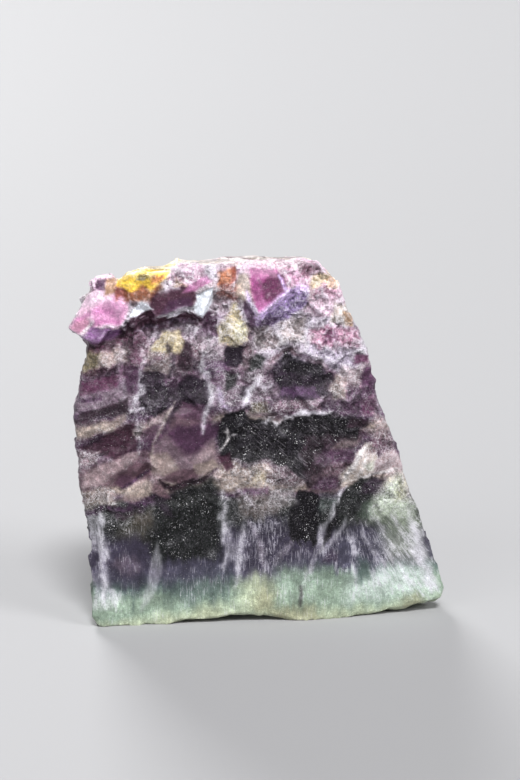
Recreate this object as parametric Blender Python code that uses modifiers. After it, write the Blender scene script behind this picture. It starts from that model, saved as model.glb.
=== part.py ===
"""Banded fluorite specimen: a thick slab, sawn at the front and back, that stands on its uneven green base.
Its natural top and right edge carry cubic crystals that grew into one piece with the slab: one solid.
Metres, +Z up, the sawn front faces -Y, and the origin is on the floor under the middle of the stone."""

import math
import random

import bmesh
import bpy
from mathutils import Matrix, Vector, noise

MM = 0.001

# Driving dimensions
THICKNESS = 22 * MM
FRONT_Y = -THICKNESS / 2
BACK_Y = THICKNESS / 2
GRAIN = 1.1 * MM  # spacing of the points that the weathering moves
JOIN_GRAIN = 0.65 * MM  # spacing of the points once the crystals have grown together with the slab
KEEP_SHARE = 0.062  # share of the triangles that is left once the flat stretches are thinned

# The outline that the saw cut through the stone, seen from the front, in millimetres as (x, z)
LEFT_EDGE = (
    (-39.2, 0.5), (-40.1, 2.4), (-39.8, 7), (-39.4, 9.5), (-39.7, 13), (-40, 20), (-41, 26),
    (-41.7, 30), (-41.6, 35), (-42, 40.5), (-42.9, 44), (-42.8, 48.5), (-42.3, 53.5), (-41.4, 59),
    (-40.4, 63.5), (-39.6, 66.3), (-38.6, 69), (-36.8, 73), (-36.2, 79), (-36.6, 82.4),
)
TOP_EDGE = (
    (-32.5, 83.2), (-30.3, 84.7), (-25, 85.3), (-20.6, 85.7), (-18.4, 86.6), (-10, 87.1), (0, 87.4),
    (10, 87.7), (14.2, 87.5),
)
RIGHT_EDGE = (
    (16, 86), (17.3, 84.2), (19.4, 82.4), (20.9, 80), (22, 76.3), (23.3, 72.6), (24.8, 70.6),
    (26, 67.5), (27.4, 63.8), (28.9, 59.4), (28.2, 56.8), (29.1, 54.3), (31, 50.3), (32.7, 46.2),
    (33.9, 42), (35.9, 38), (35.2, 36.3), (37.2, 33), (38.8, 28.6), (40.5, 24), (42.1, 19.5),
    (44.1, 14.5), (45.9, 10), (46.8, 6), (46.2, 3.1),
)
UNDERSIDE = (
    (42, 2.4), (36, 1.6), (30, 0.8), (24, 0), (20, -0.6), (9.5, -0.7), (7.6, 0.2), (5, 0.7), (1, 1.1),
    (-5, 1.4), (-11, 0.9), (-19, 0.2), (-25, -0.6), (-37.4, -0.7),
)
ARCH_TOP = 1.4 * MM  # the rise of the underside between its two front feet
ARCH_FADE = 9 * MM  # height over which the arch dies out in the body

# The lower right of the front is a cleavage face that turns back from this line, given by two points
BEND_LOW = Vector((13 * MM, 0, 0))
BEND_HIGH = Vector((27 * MM, 0, 40 * MM))
BEND_SLOPE = 0.13
RIGHT_LIFT = 2.2 * MM  # the underside's rise at its right end, behind the front
LEAN = 0.05  # share by which the sides draw in towards the back
TOP_FALL = 1.4 * MM  # the top's fall from front to back
LEFT_TOP_FALL = 1.8 * MM  # its further fall left of LEFT_TOP
LEFT_TOP = -15  # x in millimetres

# Spacing and height of the weathered surface's lumps, of its flat facets and of the saw's waves
LUMPS = (13 * MM, 1.5 * MM)
SIDE_FACETS = ((6.5 * MM, 1.6 * MM), (3 * MM, 0.6 * MM))
SAWN_FACETS = ((5 * MM, 1.0 * MM), (2.6 * MM, 0.4 * MM))
SAW_WAVES = (6 * MM, 0.2 * MM)
FLAT_TOP_FROM = -20  # x in millimetres; right of it the top has only shallow facets

# Hollows (negative) and swellings of the front, in millimetres:
# name, (x, z), half sizes, rise of the long axis, height
FRONT_RELIEF = (
    ("shadow under the pink crystal", (-36, 68.5), (6, 2.6), 0.15, -2.2),
    ("hollow under the brown crystal", (-23, 73), (9, 2.8), 0.1, -2.2),
    ("hollow beside the magenta face", (-6.5, 77), (3.4, 3.6), -0.4, -1.6),
    ("hollow under the violet face", (7, 72.2), (8.5, 3.2), 0.5, -2.0),
    ("hollow over the violet face", (12.5, 83.5), (4.5, 3), 0.2, -0.8),
    ("upper dark window", (11.5, 59), (7.5, 4.6), 0.2, -0.9),
    ("dark window", (9, 45), (17, 5.4), 0.05, -1.0),
    ("dark window's deep left end", (-7.5, 45), (3, 6.5), 0.6, -1.1),
    ("left dark patch", (-15, 57), (4.6, 4.6), 0.3, -0.9),
    ("dark patch by the left vein", (-24, 56.5), (3.4, 5), 0.2, -0.8),
    ("left band hollow", (-33, 45.5), (7.5, 2.2), 0.25, -0.8),
    ("left band rib", (-36, 48.6), (6, 1.4), 0.22, 0.6),
    ("upper left band hollow", (-37, 59.5), (5.5, 2), 0.2, -0.6),
    ("shell-like chip", (-29.5, 36.5), (5.6, 2.6), 0.5, -1.3),
    ("ledge over the green part", (-18, 38.6), (7, 1.9), 0.35, 0.9),
    ("ledge's right arm", (27, 38.5), (6, 2.6), 0.35, 0.9),
    ("hollow under the ledge", (-17, 32.5), (8, 2.6), 0.2, -0.8),
    ("hollow by the slanting vein", (24, 31), (3.4, 6), -0.5, -1.2),
    ("dark wedge", (12, 26), (3, 6.5), 0.1, -1.0),
    ("yellow swelling", (-5.5, 72), (3.6, 4), -0.3, 1.0),
    ("pale swelling", (0, 36.5), (8, 3), -0.1, 0.8),
    ("left base swelling", (-36.5, 3.5), (3, 3.5), 0.0, 0.7),
    ("chipped left rim", (-39.5, 17), (2.2, 9), 0.0, -1.6),
)
# Hollows and swellings of the back, in the same form
BACK_RELIEF = (
    ("hollow in the purple part", (-8, 60), (13, 6), -0.25, -1.3),
    ("upper hollow", (14, 72), (7, 5), 0.3, -1.5),
    ("ledge over the green part", (-8, 38), (26, 3.4), -0.12, 0.45),
    ("chip at the right", (32, 24), (8, 7), 0.5, -1.4),
    ("chip at the left", (-33, 66), (7, 6), 0.3, -1.6),
    ("swelling of the green part", (-16, 16), (14, 8), 0.0, 0.8),
)

# Crystals that can be told apart, in millimetres: name, a front corner, its edge's direction, a second edge's
# direction, and the lengths of these two edges and of the third
CRYSTALS = (
    ("pink crystal", (-43.8, -11.8, 72.4), (0.54, 0.12, 0.83), (0.83, -0.1, -0.55), (9.6, 8.5, 13)),
    ("pink crystal's right part", (-38.6, -13, 73.4), (0.96, 0.15, -0.12), (0.2, 0.25, 0.95), (8.4, 7.6, 12)),
    ("pink crystal's shoulder", (-37.4, -10.8, 80.4), (0.9, 0.1, 0.3), (-0.2, 0.25, 0.95), (5.4, 3.4, 9)),
    ("brown crystal", (-23.6, -13.6, 74.7), (0.95, 0.06, 0.31), (-0.33, 0.3, 0.9), (10.4, 8.2, 11)),
    ("brown crystal's left half", (-25.2, -13, 77.2), (-0.93, 0.18, 0.32), (0.28, 0.25, 0.93), (5.2, 6, 8)),
    ("pale left chip", (-29.6, -12.2, 73.9), (0.85, 0.1, 0.5), (-0.35, 0.75, 0.6), (5.6, 5, 6)),
    ("pale right chip", (-12.6, -13, 74.6), (0.35, 0.12, 0.93), (-0.9, 0.3, 0.3), (7.4, 3.6, 7)),
    ("magenta crystal", (0.2, -13.6, 74.9), (0.79, -0.02, 0.6), (-0.45, 0.4, 0.82), (11.4, 7.4, 12)),
    ("rose crystal", (-9.8, -12.6, 82), (-0.92, 0.1, -0.36), (0.3, 0.45, 0.84), (6.6, 4.4, 8)),
    ("orange crystal", (-5.8, -12.6, 80.2), (0.25, 0.2, 0.95), (-0.85, 0.5, 0.2), (6, 4.2, 6)),
    ("crystal on the top", (-3, -2.5, 83.3), (0.8, 0.5, -0.02), (-0.5, 0.85, -0.06), (9, 8, 4)),
    ("flat crystal on the top", (-24, -3, 81), (0.88, 0.45, 0.02), (-0.45, 0.88, -0.08), (9, 7, 4)),
    ("back crystal on the left", (-36, 8.6, 71), (-0.6, -0.45, 0.66), (0.5, 0.3, 0.8), (7.5, 8.5, -9)),
    ("middle crystal on the left", (-38.6, -0.5, 68.6), (-0.35, 0.6, 0.72), (0.55, -0.3, 0.8), (7, 7.5, 9)),
)

# Rows of smaller crystals that lie almost parallel: name, the row's start and end as (x, y, z), the direction
# into the stone, how many, smallest and largest edge
CRYSTAL_ROWS = (
    ("right edge at the front", (15.2, -7, 84.5), (28.2, -7, 51.5), (-1, 0, -0.3), 9, 4.0, 6.4),
    ("right edge in the middle", (16, -1, 85), (29, 0, 50), (-1, 0, -0.3), 8, 5.0, 8.0),
    ("right edge at the back", (15.2, 6, 84), (28.4, 6, 50.5), (-1, 0, -0.3), 8, 4.6, 7.4),
    ("lower right edge", (30, -5.5, 48.6), (33.4, -6, 39.5), (-1, 0, -0.3), 4, 3.0, 4.6),
    ("lower right edge at the back", (31, 5, 48), (34.4, 5, 37.5), (-1, 0, -0.3), 4, 4.0, 6.0),
    ("top at the left", (-35.4, -6, 81.6), (-21, -3, 83.6), (0.2, 0, -1), 6, 3.6, 5.4),
    ("top at the back", (-33, 6, 79.8), (11, 6, 84), (0, 0, -1), 9, 4.4, 7.0),
    ("left shoulder", (-37.2, 3, 80.4), (-38, -3, 66.8), (1, 0, 0), 4, 4.0, 6.2),
    ("front under the crust", (-35, -9.5, 66), (-8, -9.5, 70), (0, 1, 0), 8, 4.0, 6.6),
    ("front at the upper right", (6, -9.6, 70), (25, -9.2, 66), (0, 1, 0), 6, 3.6, 6.0),
    ("front along the middle", (-33, -9.3, 55), (24, -9.3, 57), (0, 1, 0), 9, 4.0, 7.0),
    ("front over the chip", (-36, -9.4, 41), (-14, -9.4, 44), (0, 1, 0), 6, 3.6, 6.0),
)
ROW_EDGES = (Vector((0.75, 0.25, 0.6)), Vector((-0.5, 0.4, 0.75)))
ROW_SPREAD = 0.14  # how far the rows' crystals are turned away from parallel
CRYSTAL_SEED = 11


def clear_scene():
    for obj in list(bpy.data.objects):
        bpy.data.objects.remove(obj)


def new_collection(name):
    collection = bpy.data.collections.new(name)
    bpy.context.scene.collection.children.link(collection)
    return collection


def stone_material():
    material = bpy.data.materials.new("banded fluorite")
    material.use_nodes = True
    shader = material.node_tree.nodes["Principled BSDF"]
    shader.inputs["Base Color"].default_value = (0.17, 0.11, 0.19, 1)
    shader.inputs["Roughness"].default_value = 0.35
    shader.inputs["Metallic"].default_value = 0.0
    shader.inputs["IOR"].default_value = 1.43
    return material


def mesh_from(obj, name, collection):
    """A mesh object of what obj evaluates to, with the loose caps welded. obj is removed."""
    graph = bpy.context.evaluated_depsgraph_get()
    mesh = bpy.data.meshes.new_from_object(obj.evaluated_get(graph))
    made = bpy.data.objects.new(name, mesh)
    made.matrix_world = obj.matrix_world.copy()
    collection.objects.link(made)
    bpy.data.objects.remove(obj)
    work = bmesh.new()
    work.from_mesh(mesh)
    bmesh.ops.remove_doubles(work, verts=work.verts, dist=0.01 * MM)
    work.to_mesh(mesh)
    work.free()
    return made


def sawn_slab(collection):
    """The outline as a 2D curve, extruded to the thickness, then remeshed to even faces."""
    curve = bpy.data.curves.new("outline", "CURVE")
    curve.dimensions = "2D"
    curve.fill_mode = "BOTH"
    curve.extrude = THICKNESS / 2
    spline = curve.splines.new("POLY")
    points = LEFT_EDGE + TOP_EDGE + RIGHT_EDGE + UNDERSIDE
    spline.points.add(len(points) - 1)
    for point, (x, z) in zip(spline.points, points):
        point.co = (x * MM, z * MM, 0, 1)
    spline.use_cyclic_u = True
    outline = bpy.data.objects.new("outline", curve)
    outline.rotation_euler = (math.pi / 2, 0, 0)
    collection.objects.link(outline)
    bpy.context.view_layer.update()
    slab = mesh_from(outline, "slab", collection)
    slab.data.transform(slab.matrix_world)
    slab.matrix_world.identity()
    remesh = slab.modifiers.new("even faces", "REMESH")
    remesh.mode = "VOXEL"
    remesh.voxel_size = GRAIN
    bpy.context.view_layer.update()
    return mesh_from(slab, "even slab", collection)


def smooth_step(t):
    t = min(1.0, max(0.0, t))
    return t * t * (3 - 2 * t)


def relief_at(features, x, z):
    """Height in metres that the listed hollows and swellings add at (x, z)."""
    total = 0.0
    for _, centre, half, rise, height in features:
        dx = x / MM - centre[0]
        dz = z / MM - centre[1] - rise * dx
        reach = (dx / half[0]) ** 2 + (dz / half[1]) ** 2
        total += height * MM * smooth_step(1.35 - reach * 0.8)
    return total


def bend_back(x, z):
    """How far the lower right of the front lies behind the sawn plane."""
    along = BEND_HIGH - BEND_LOW
    side = (x - BEND_LOW.x) * along.z - (z - BEND_LOW.z) * along.x
    return max(0.0, side / along.length) * BEND_SLOPE


def facets_at(point, layers):
    """Flat-sided lumps: each cell of broken crystal has its own tilted plane."""
    total = 0.0
    for cell, depth in layers:
        centre = noise.voronoi(point / cell)[1][0]
        tilt = noise.cell_vector(centre * 7.3)
        total += (point / cell - centre).dot(tilt) * depth
    return total


def waves_at(point, spacing, height):
    return noise.noise(point / spacing) * height


def front_roughness(z):
    """The crystals of the top broke deeply, the purple bands less, and the green fibres hardly at all."""
    bands = smooth_step((z / MM - 30) / 10)
    crust = smooth_step((z / MM - 62) / 6)
    return 0.3 + 0.5 * bands + 0.8 * crust


def weathered(point, normal):
    """Where a point of the sawn slab ends once the stone is broken, chipped and worn."""
    x, y, z = point
    facing_front = smooth_step((-normal.y - 0.5) * 2.5)
    facing_back = smooth_step((normal.y - 0.5) * 2.5)
    side = 1 - max(facing_front, facing_back)
    moved = point.copy()
    moved.y -= relief_at(FRONT_RELIEF, x, z) * facing_front
    moved.y += relief_at(BACK_RELIEF, x, z) * facing_back
    moved.y += bend_back(x, z) * smooth_step((BACK_Y - y) / THICKNESS)
    flat_top = smooth_step((normal.z - 0.5) * 2.5) * smooth_step((x / MM - FLAT_TOP_FROM) / 5)
    depth_share = (y - FRONT_Y) / THICKNESS
    rim = 0.35 + 0.65 * smooth_step(depth_share * 5)
    broken = (waves_at(point, *LUMPS) + facets_at(point, SIDE_FACETS)) * (1 - 0.7 * flat_top) * rim
    chipped = waves_at(point, *SAW_WAVES) + facets_at(point, SAWN_FACETS) * front_roughness(z)
    moved += normal * (broken * side + chipped * (1 - side))
    # The sides lean in towards the back, the top falls that way, and the arch between the front feet closes
    moved.x *= 1 - LEAN * depth_share * max(side, 0.4)
    arch = ARCH_TOP * max(0.0, 1 - abs(x / MM + 2) / 20) * smooth_step(1 - z / ARCH_FADE)
    right_lift = RIGHT_LIFT * smooth_step((x / MM - 18) / 24) * smooth_step(1 - z / ARCH_FADE)
    moved.z -= (arch + right_lift) * smooth_step(depth_share * 1.5 - 0.2)
    fall = TOP_FALL + LEFT_TOP_FALL * smooth_step((LEFT_TOP - x / MM) / 8)
    moved.z -= fall * depth_share * smooth_step((z / MM - 62) / 22)
    return moved


def weather(slab):
    work = bmesh.new()
    work.from_mesh(slab.data)
    work.normal_update()
    targets = [weathered(vert.co.copy(), vert.normal.copy()) for vert in work.verts]
    for vert, target in zip(work.verts, targets):
        vert.co = target
    work.to_mesh(slab.data)
    work.free()


def grow_together(slab, collection):
    """One even skin over the slab and its crystals, then fewer, larger triangles where the stone is flat."""
    remesh = slab.modifiers.new("one skin", "REMESH")
    remesh.mode = "VOXEL"
    remesh.voxel_size = JOIN_GRAIN
    decimate = slab.modifiers.new("chip facets", "DECIMATE")
    decimate.ratio = KEEP_SHARE
    decimate.use_collapse_triangulate = True
    bpy.context.view_layer.update()
    return mesh_from(slab, "fluorite_slab", collection)


def body_of(vert):
    """Every point that is joined to vert."""
    found = {vert}
    waiting = [vert]
    while waiting:
        for edge in waiting.pop().link_edges:
            for other in edge.verts:
                if other not in found:
                    found.add(other)
                    waiting.append(other)
    return found


def drop_crumbs(slab):
    """Keeps the largest body, so that no loose crumb is left beside the stone."""
    work = bmesh.new()
    work.from_mesh(slab.data)
    left = set(work.verts)
    bodies = []
    while left:
        body = body_of(next(iter(left)))
        bodies.append(body)
        left -= body
    bodies.sort(key=len)
    for crumb in bodies[:-1]:
        bmesh.ops.delete(work, geom=list(crumb), context="VERTS")
    work.to_mesh(slab.data)
    work.free()


def crystal_block(name, corner, edge, second, lengths, collection):
    """A block with one corner and two edge directions given. Its third edge runs into the stone."""
    first = Vector(edge).normalized()
    other = Vector(second)
    other = (other - first * other.dot(first)).normalized()
    third = first.cross(other)
    if third.y < 0:
        third = -third
    sides = (first * lengths[0], other * lengths[1], third * lengths[2])
    work = bmesh.new()
    bmesh.ops.create_cube(work, size=1.0)
    for vert in work.verts:
        place = Vector(corner)
        for amount, direction in zip(vert.co, sides):
            place += direction * (amount + 0.5)
        vert.co = place * MM
    if work.calc_volume(signed=True) < 0:
        bmesh.ops.reverse_faces(work, faces=work.faces)
    mesh = bpy.data.meshes.new(name)
    work.to_mesh(mesh)
    work.free()
    block = bpy.data.objects.new(name, mesh)
    collection.objects.link(block)
    block.hide_render = True
    block.display_type = "WIRE"
    return block


def nudge(rng, reach):
    return Vector([rng.uniform(-reach, reach) for _ in range(3)])


def small_crystals(collection):
    """Rows of cubes, each turned and sized a little differently, sunk in the stone up to their corners."""
    rng = random.Random(CRYSTAL_SEED)
    for name, start, end, inward, count, smallest, largest in CRYSTAL_ROWS:
        begin, finish = Vector(start), Vector(end)
        for index in range(count):
            size = rng.uniform(smallest, largest)
            share = (index + rng.uniform(0.2, 0.8)) / count
            first = (ROW_EDGES[0] + nudge(rng, ROW_SPREAD)).normalized()
            second = (ROW_EDGES[1] + nudge(rng, ROW_SPREAD)).normalized()
            centre = begin.lerp(finish, share) + nudge(rng, 1.2) + Vector(inward) * size * 0.3
            corner = centre - (first + second + Vector((0, 1, 0))) * size / 2
            crystal_block(f"{name} {index}", corner, first, second, (size, size, size), collection)


def centre_on_origin(slab):
    """Moves the stone sideways so that its overall size is the same on both sides of the origin."""
    points = [vert.co for vert in slab.data.vertices]
    across = (min(p.x for p in points) + max(p.x for p in points)) / 2
    deep = (min(p.y for p in points) + max(p.y for p in points)) / 2
    slab.data.transform(Matrix.Translation((-across, -deep, 0)))


def floor_cutter(collection):
    """A block whose top is the floor: what the stone rests on is worn flat there."""
    bpy.ops.mesh.primitive_cube_add(size=1, location=(0, 0, -10 * MM))
    block = bpy.context.object
    block.name = "floor"
    block.scale = (140 * MM, 80 * MM, 20 * MM)
    bpy.ops.object.transform_apply(location=True, rotation=False, scale=True)
    for used in list(block.users_collection):
        used.objects.unlink(block)
    collection.objects.link(block)
    block.hide_render = True
    block.display_type = "WIRE"
    return block


def boolean(obj, name, operation, target):
    modifier = obj.modifiers.new(name, "BOOLEAN")
    modifier.operation = operation
    modifier.solver = "EXACT"
    if isinstance(target, bpy.types.Collection):
        modifier.operand_type = "COLLECTION"
        modifier.collection = target
    else:
        modifier.object = target


def build():
    clear_scene()
    parts = new_collection("fluorite specimen")
    cutters = new_collection("cutters")
    crystals = new_collection("crystals")
    slab = sawn_slab(parts)
    weather(slab)
    for name, corner, edge, second, lengths in CRYSTALS:
        crystal_block(name, corner, edge, second, lengths, crystals)
    small_crystals(crystals)
    crystals.hide_render = True
    boolean(slab, "crystals", "UNION", crystals)
    slab = grow_together(slab, parts)
    drop_crumbs(slab)
    centre_on_origin(slab)
    boolean(slab, "floor", "DIFFERENCE", floor_cutter(cutters))
    slab.data.materials.clear()
    slab.data.materials.append(stone_material())


build()
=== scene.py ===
"""The look of the banded fluorite slab: its fine broken surface, banded colours, veins and iron stains.
Places on the stone are given in millimetres as (x, z) on its front face, measured from the floor."""
import math
from itertools import product
import bpy
import numpy as np
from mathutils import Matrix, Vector


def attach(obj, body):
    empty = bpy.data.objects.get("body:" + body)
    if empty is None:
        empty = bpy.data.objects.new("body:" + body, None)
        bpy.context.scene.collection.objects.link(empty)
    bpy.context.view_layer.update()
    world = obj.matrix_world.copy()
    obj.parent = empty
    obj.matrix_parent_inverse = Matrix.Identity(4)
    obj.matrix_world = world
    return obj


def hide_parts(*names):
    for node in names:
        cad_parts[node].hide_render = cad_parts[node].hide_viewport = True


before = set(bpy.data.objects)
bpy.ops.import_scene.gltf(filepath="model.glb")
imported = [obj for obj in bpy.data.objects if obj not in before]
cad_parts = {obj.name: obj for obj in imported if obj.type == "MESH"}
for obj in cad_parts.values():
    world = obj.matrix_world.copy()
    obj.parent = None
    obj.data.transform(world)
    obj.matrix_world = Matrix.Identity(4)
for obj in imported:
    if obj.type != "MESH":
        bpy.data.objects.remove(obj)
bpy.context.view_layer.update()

MM = 0.001
# In millimetres, from the frame's origin to the one that the places are measured from
STONE_SHIFT = np.array((1.743, -0.649, 0.0))

# The fine skin of the stone
GRAIN = 0.37 * MM  # spacing of its points
WELD = 0.02 * MM
TRIANGLES = 194000
THINNING_STEPS = 5  # steps in which the skin is thinned towards the back
THINNING_STRENGTH = 5
FINE_DEPTH = -9  # in front of this depth, in millimetres, the skin is finest. It thins over FINE_FADE
FINE_FADE = 8
CRISP = math.radians(32)  # edges sharper than this stay crisp
SHARP_RISE = 0.07  # millimetres by which a fully worn ridge stands out
BIG_CHIP = 4.2  # spacing of the chips, in millimetres
SMALL_CHIP = 1.7
EVENING_ROUNDS = 80

# Zones of the stone, in millimetres
GREEN_TOP = 31  # the fibrous lower part fades out below this height, over GREEN_FADE
GREEN_FADE = 8
CRUST_FOOT = 69  # height of the crust's lower edge
CRUST_START = 67  # the crumbly upper part fades in from this height, over CRUST_FADE
CRUST_FADE = 6
FAN = (22, 36)  # where the fibres of the lower right part come from
FAN_SPREAD = 22  # millimetres across the fibres for each radian of the fan
FAR = 1e9  # further than any place on the stone
SAW_TURN = math.radians(-42)

# The camera, placed in metres from the origin that the places on the stone are measured from
CAMERA_PLACE = (-0.034, -0.400, 0.131)
CAMERA_AIM = (0.001, -0.011, 0.057)
LENS = 78
SENSOR = 36

# The floor runs up behind the stone in one wide curve, so no line shows where it ends
FLOOR_SIZE = 14.0
FLOOR_CUTS = 59
FLAT_FLOOR = 1.2  # radius of its flat part
SWEEP = 40.0
FLOOR_COLOUR = (0.36, 0.36, 0.37)
FLOOR_ROUGHNESS = 0.8
AIR = (0.86, 0.85, 0.87, 1)
AIR_LIGHT = 0.16

# The lights: name, direction that it comes from, softness, strength
LIGHTS = (
    ("light above", (0.1, -0.85, 1.15), 0.25, 3.1),
    ("light at the right", (1.3, -0.9, 1.0), 0.4, 1.5),
    ("light at the left", (-1.4, -1.3, 0.9), 0.8, 0.95),
    ("light behind", (-0.4, 1.7, 1.1), 0.35, 2.5),
)

# The material
FLUORITE_IOR = 1.434
BUMP_DEPTH = 0.25 * MM
THREAD_WHITE = (0.92, 0.9, 0.94, 1)
GAP_SHADOW = (0.5, 0.52, 0.55, 1)
SCRATCH_GREY = (0.34, 0.31, 0.35, 1)
DIM_GLINT_GREY = (0.12, 0.11, 0.13, 1)
GLINT_WHITE = (0.9, 0.89, 0.92, 1)
CHIP_SCALE = 800  # small chips to the metre, too fine for the mesh
FINE_CHIP_SCALE = 2000
STONE_SHINE = 0.14
# The large and the small glints: scale, rarity, strength
GLINT_LAYERS = ((2500, 1.0, 1.0), (4300, 0.9, 0.62))

# Colours of the stone, sRGB 0 to 255
COLOURS = {
    "black": (12, 10, 14), "black violet": (30, 21, 32), "black green": (15, 18, 16),
    "black brown": (41, 26, 35), "maroon": (79, 43, 66), "dark maroon": (55, 29, 43), "plum": (64, 39, 61),
    "deep purple": (52, 30, 53), "mauve": (112, 92, 102), "brown mauve": (98, 74, 84),
    "grey mauve": (110, 94, 106), "pale mauve": (156, 136, 138), "lilac": (158, 146, 172),
    "grey lilac": (156, 146, 160), "violet": (122, 80, 130), "blue violet": (140, 114, 170),
    "bright lilac": (212, 184, 236), "pink": (192, 132, 168), "pale pink": (206, 168, 190),
    "rose": (164, 112, 136), "magenta": (158, 78, 132), "bright magenta": (178, 112, 158),
    "dark magenta": (86, 40, 70), "cream": (188, 175, 163), "cream yellow": (180, 166, 128),
    "tan": (160, 124, 94), "beige": (150, 135, 125), "taupe": (122, 108, 106), "olive": (104, 96, 70),
    "brown": (112, 64, 42), "red brown": (132, 66, 54), "orange": (196, 124, 86), "yellow": (222, 184, 62),
    "pale yellow": (236, 222, 150), "white": (222, 216, 216), "cool white": (210, 214, 222),
    "slate": (74, 72, 88), "dusky purple": (60, 55, 71), "teal": (86, 102, 98), "sage": (150, 169, 151),
    "mint": (194, 210, 200), "yellow green": (192, 200, 170), "green white": (160, 170, 152),
    "grey": (118, 112, 114), "dark grey": (66, 60, 64), "frost": (212, 209, 219),
    "olive beige": (150, 144, 114),
}

# The stone's growth bands from the floor up: height, colour
BANDS = (
    (0, "yellow green"), (3.5, "sage"), (6.8, "sage"), (9.6, "teal"), (12.6, "slate"), (17, "dusky purple"),
    (20.5, "dusky purple"), (24.6, "black green"), (29.5, "black green"), (31.2, "deep purple"),
    (33, "beige"), (36, "pale mauve"), (39.5, "mauve"), (42.5, "deep purple"), (46, "plum"),
    (48.8, "beige"), (51.5, "deep purple"), (55, "grey mauve"), (59, "plum"), (62.5, "mauve"),
    (66, "brown mauve"), (70, "grey mauve"), (74, "grey lilac"), (79, "pale mauve"), (84, "pale pink"),
    (88, "cream"),
)
# The veil of frost over the bands: height, veil
BAND_VEIL = ((0, 0.2), (8, 0.2), (14, 0.25), (30, 0.22), (36, 0.3), (60, 0.3), (70, 0.42), (88, 0.6))

# Stains of the iron crust on the top: colour, strength, spacing, seed, contrast, threshold
IRON_STAINS = (
    ("yellow", 0.9, 3.5, 35, 3, 0),
    ("tan", 0.6, 3.1, 37, 3, 0.6),
    ("brown mauve", 0.6, 4.1, 39, 4, 1.6),
)

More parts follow.
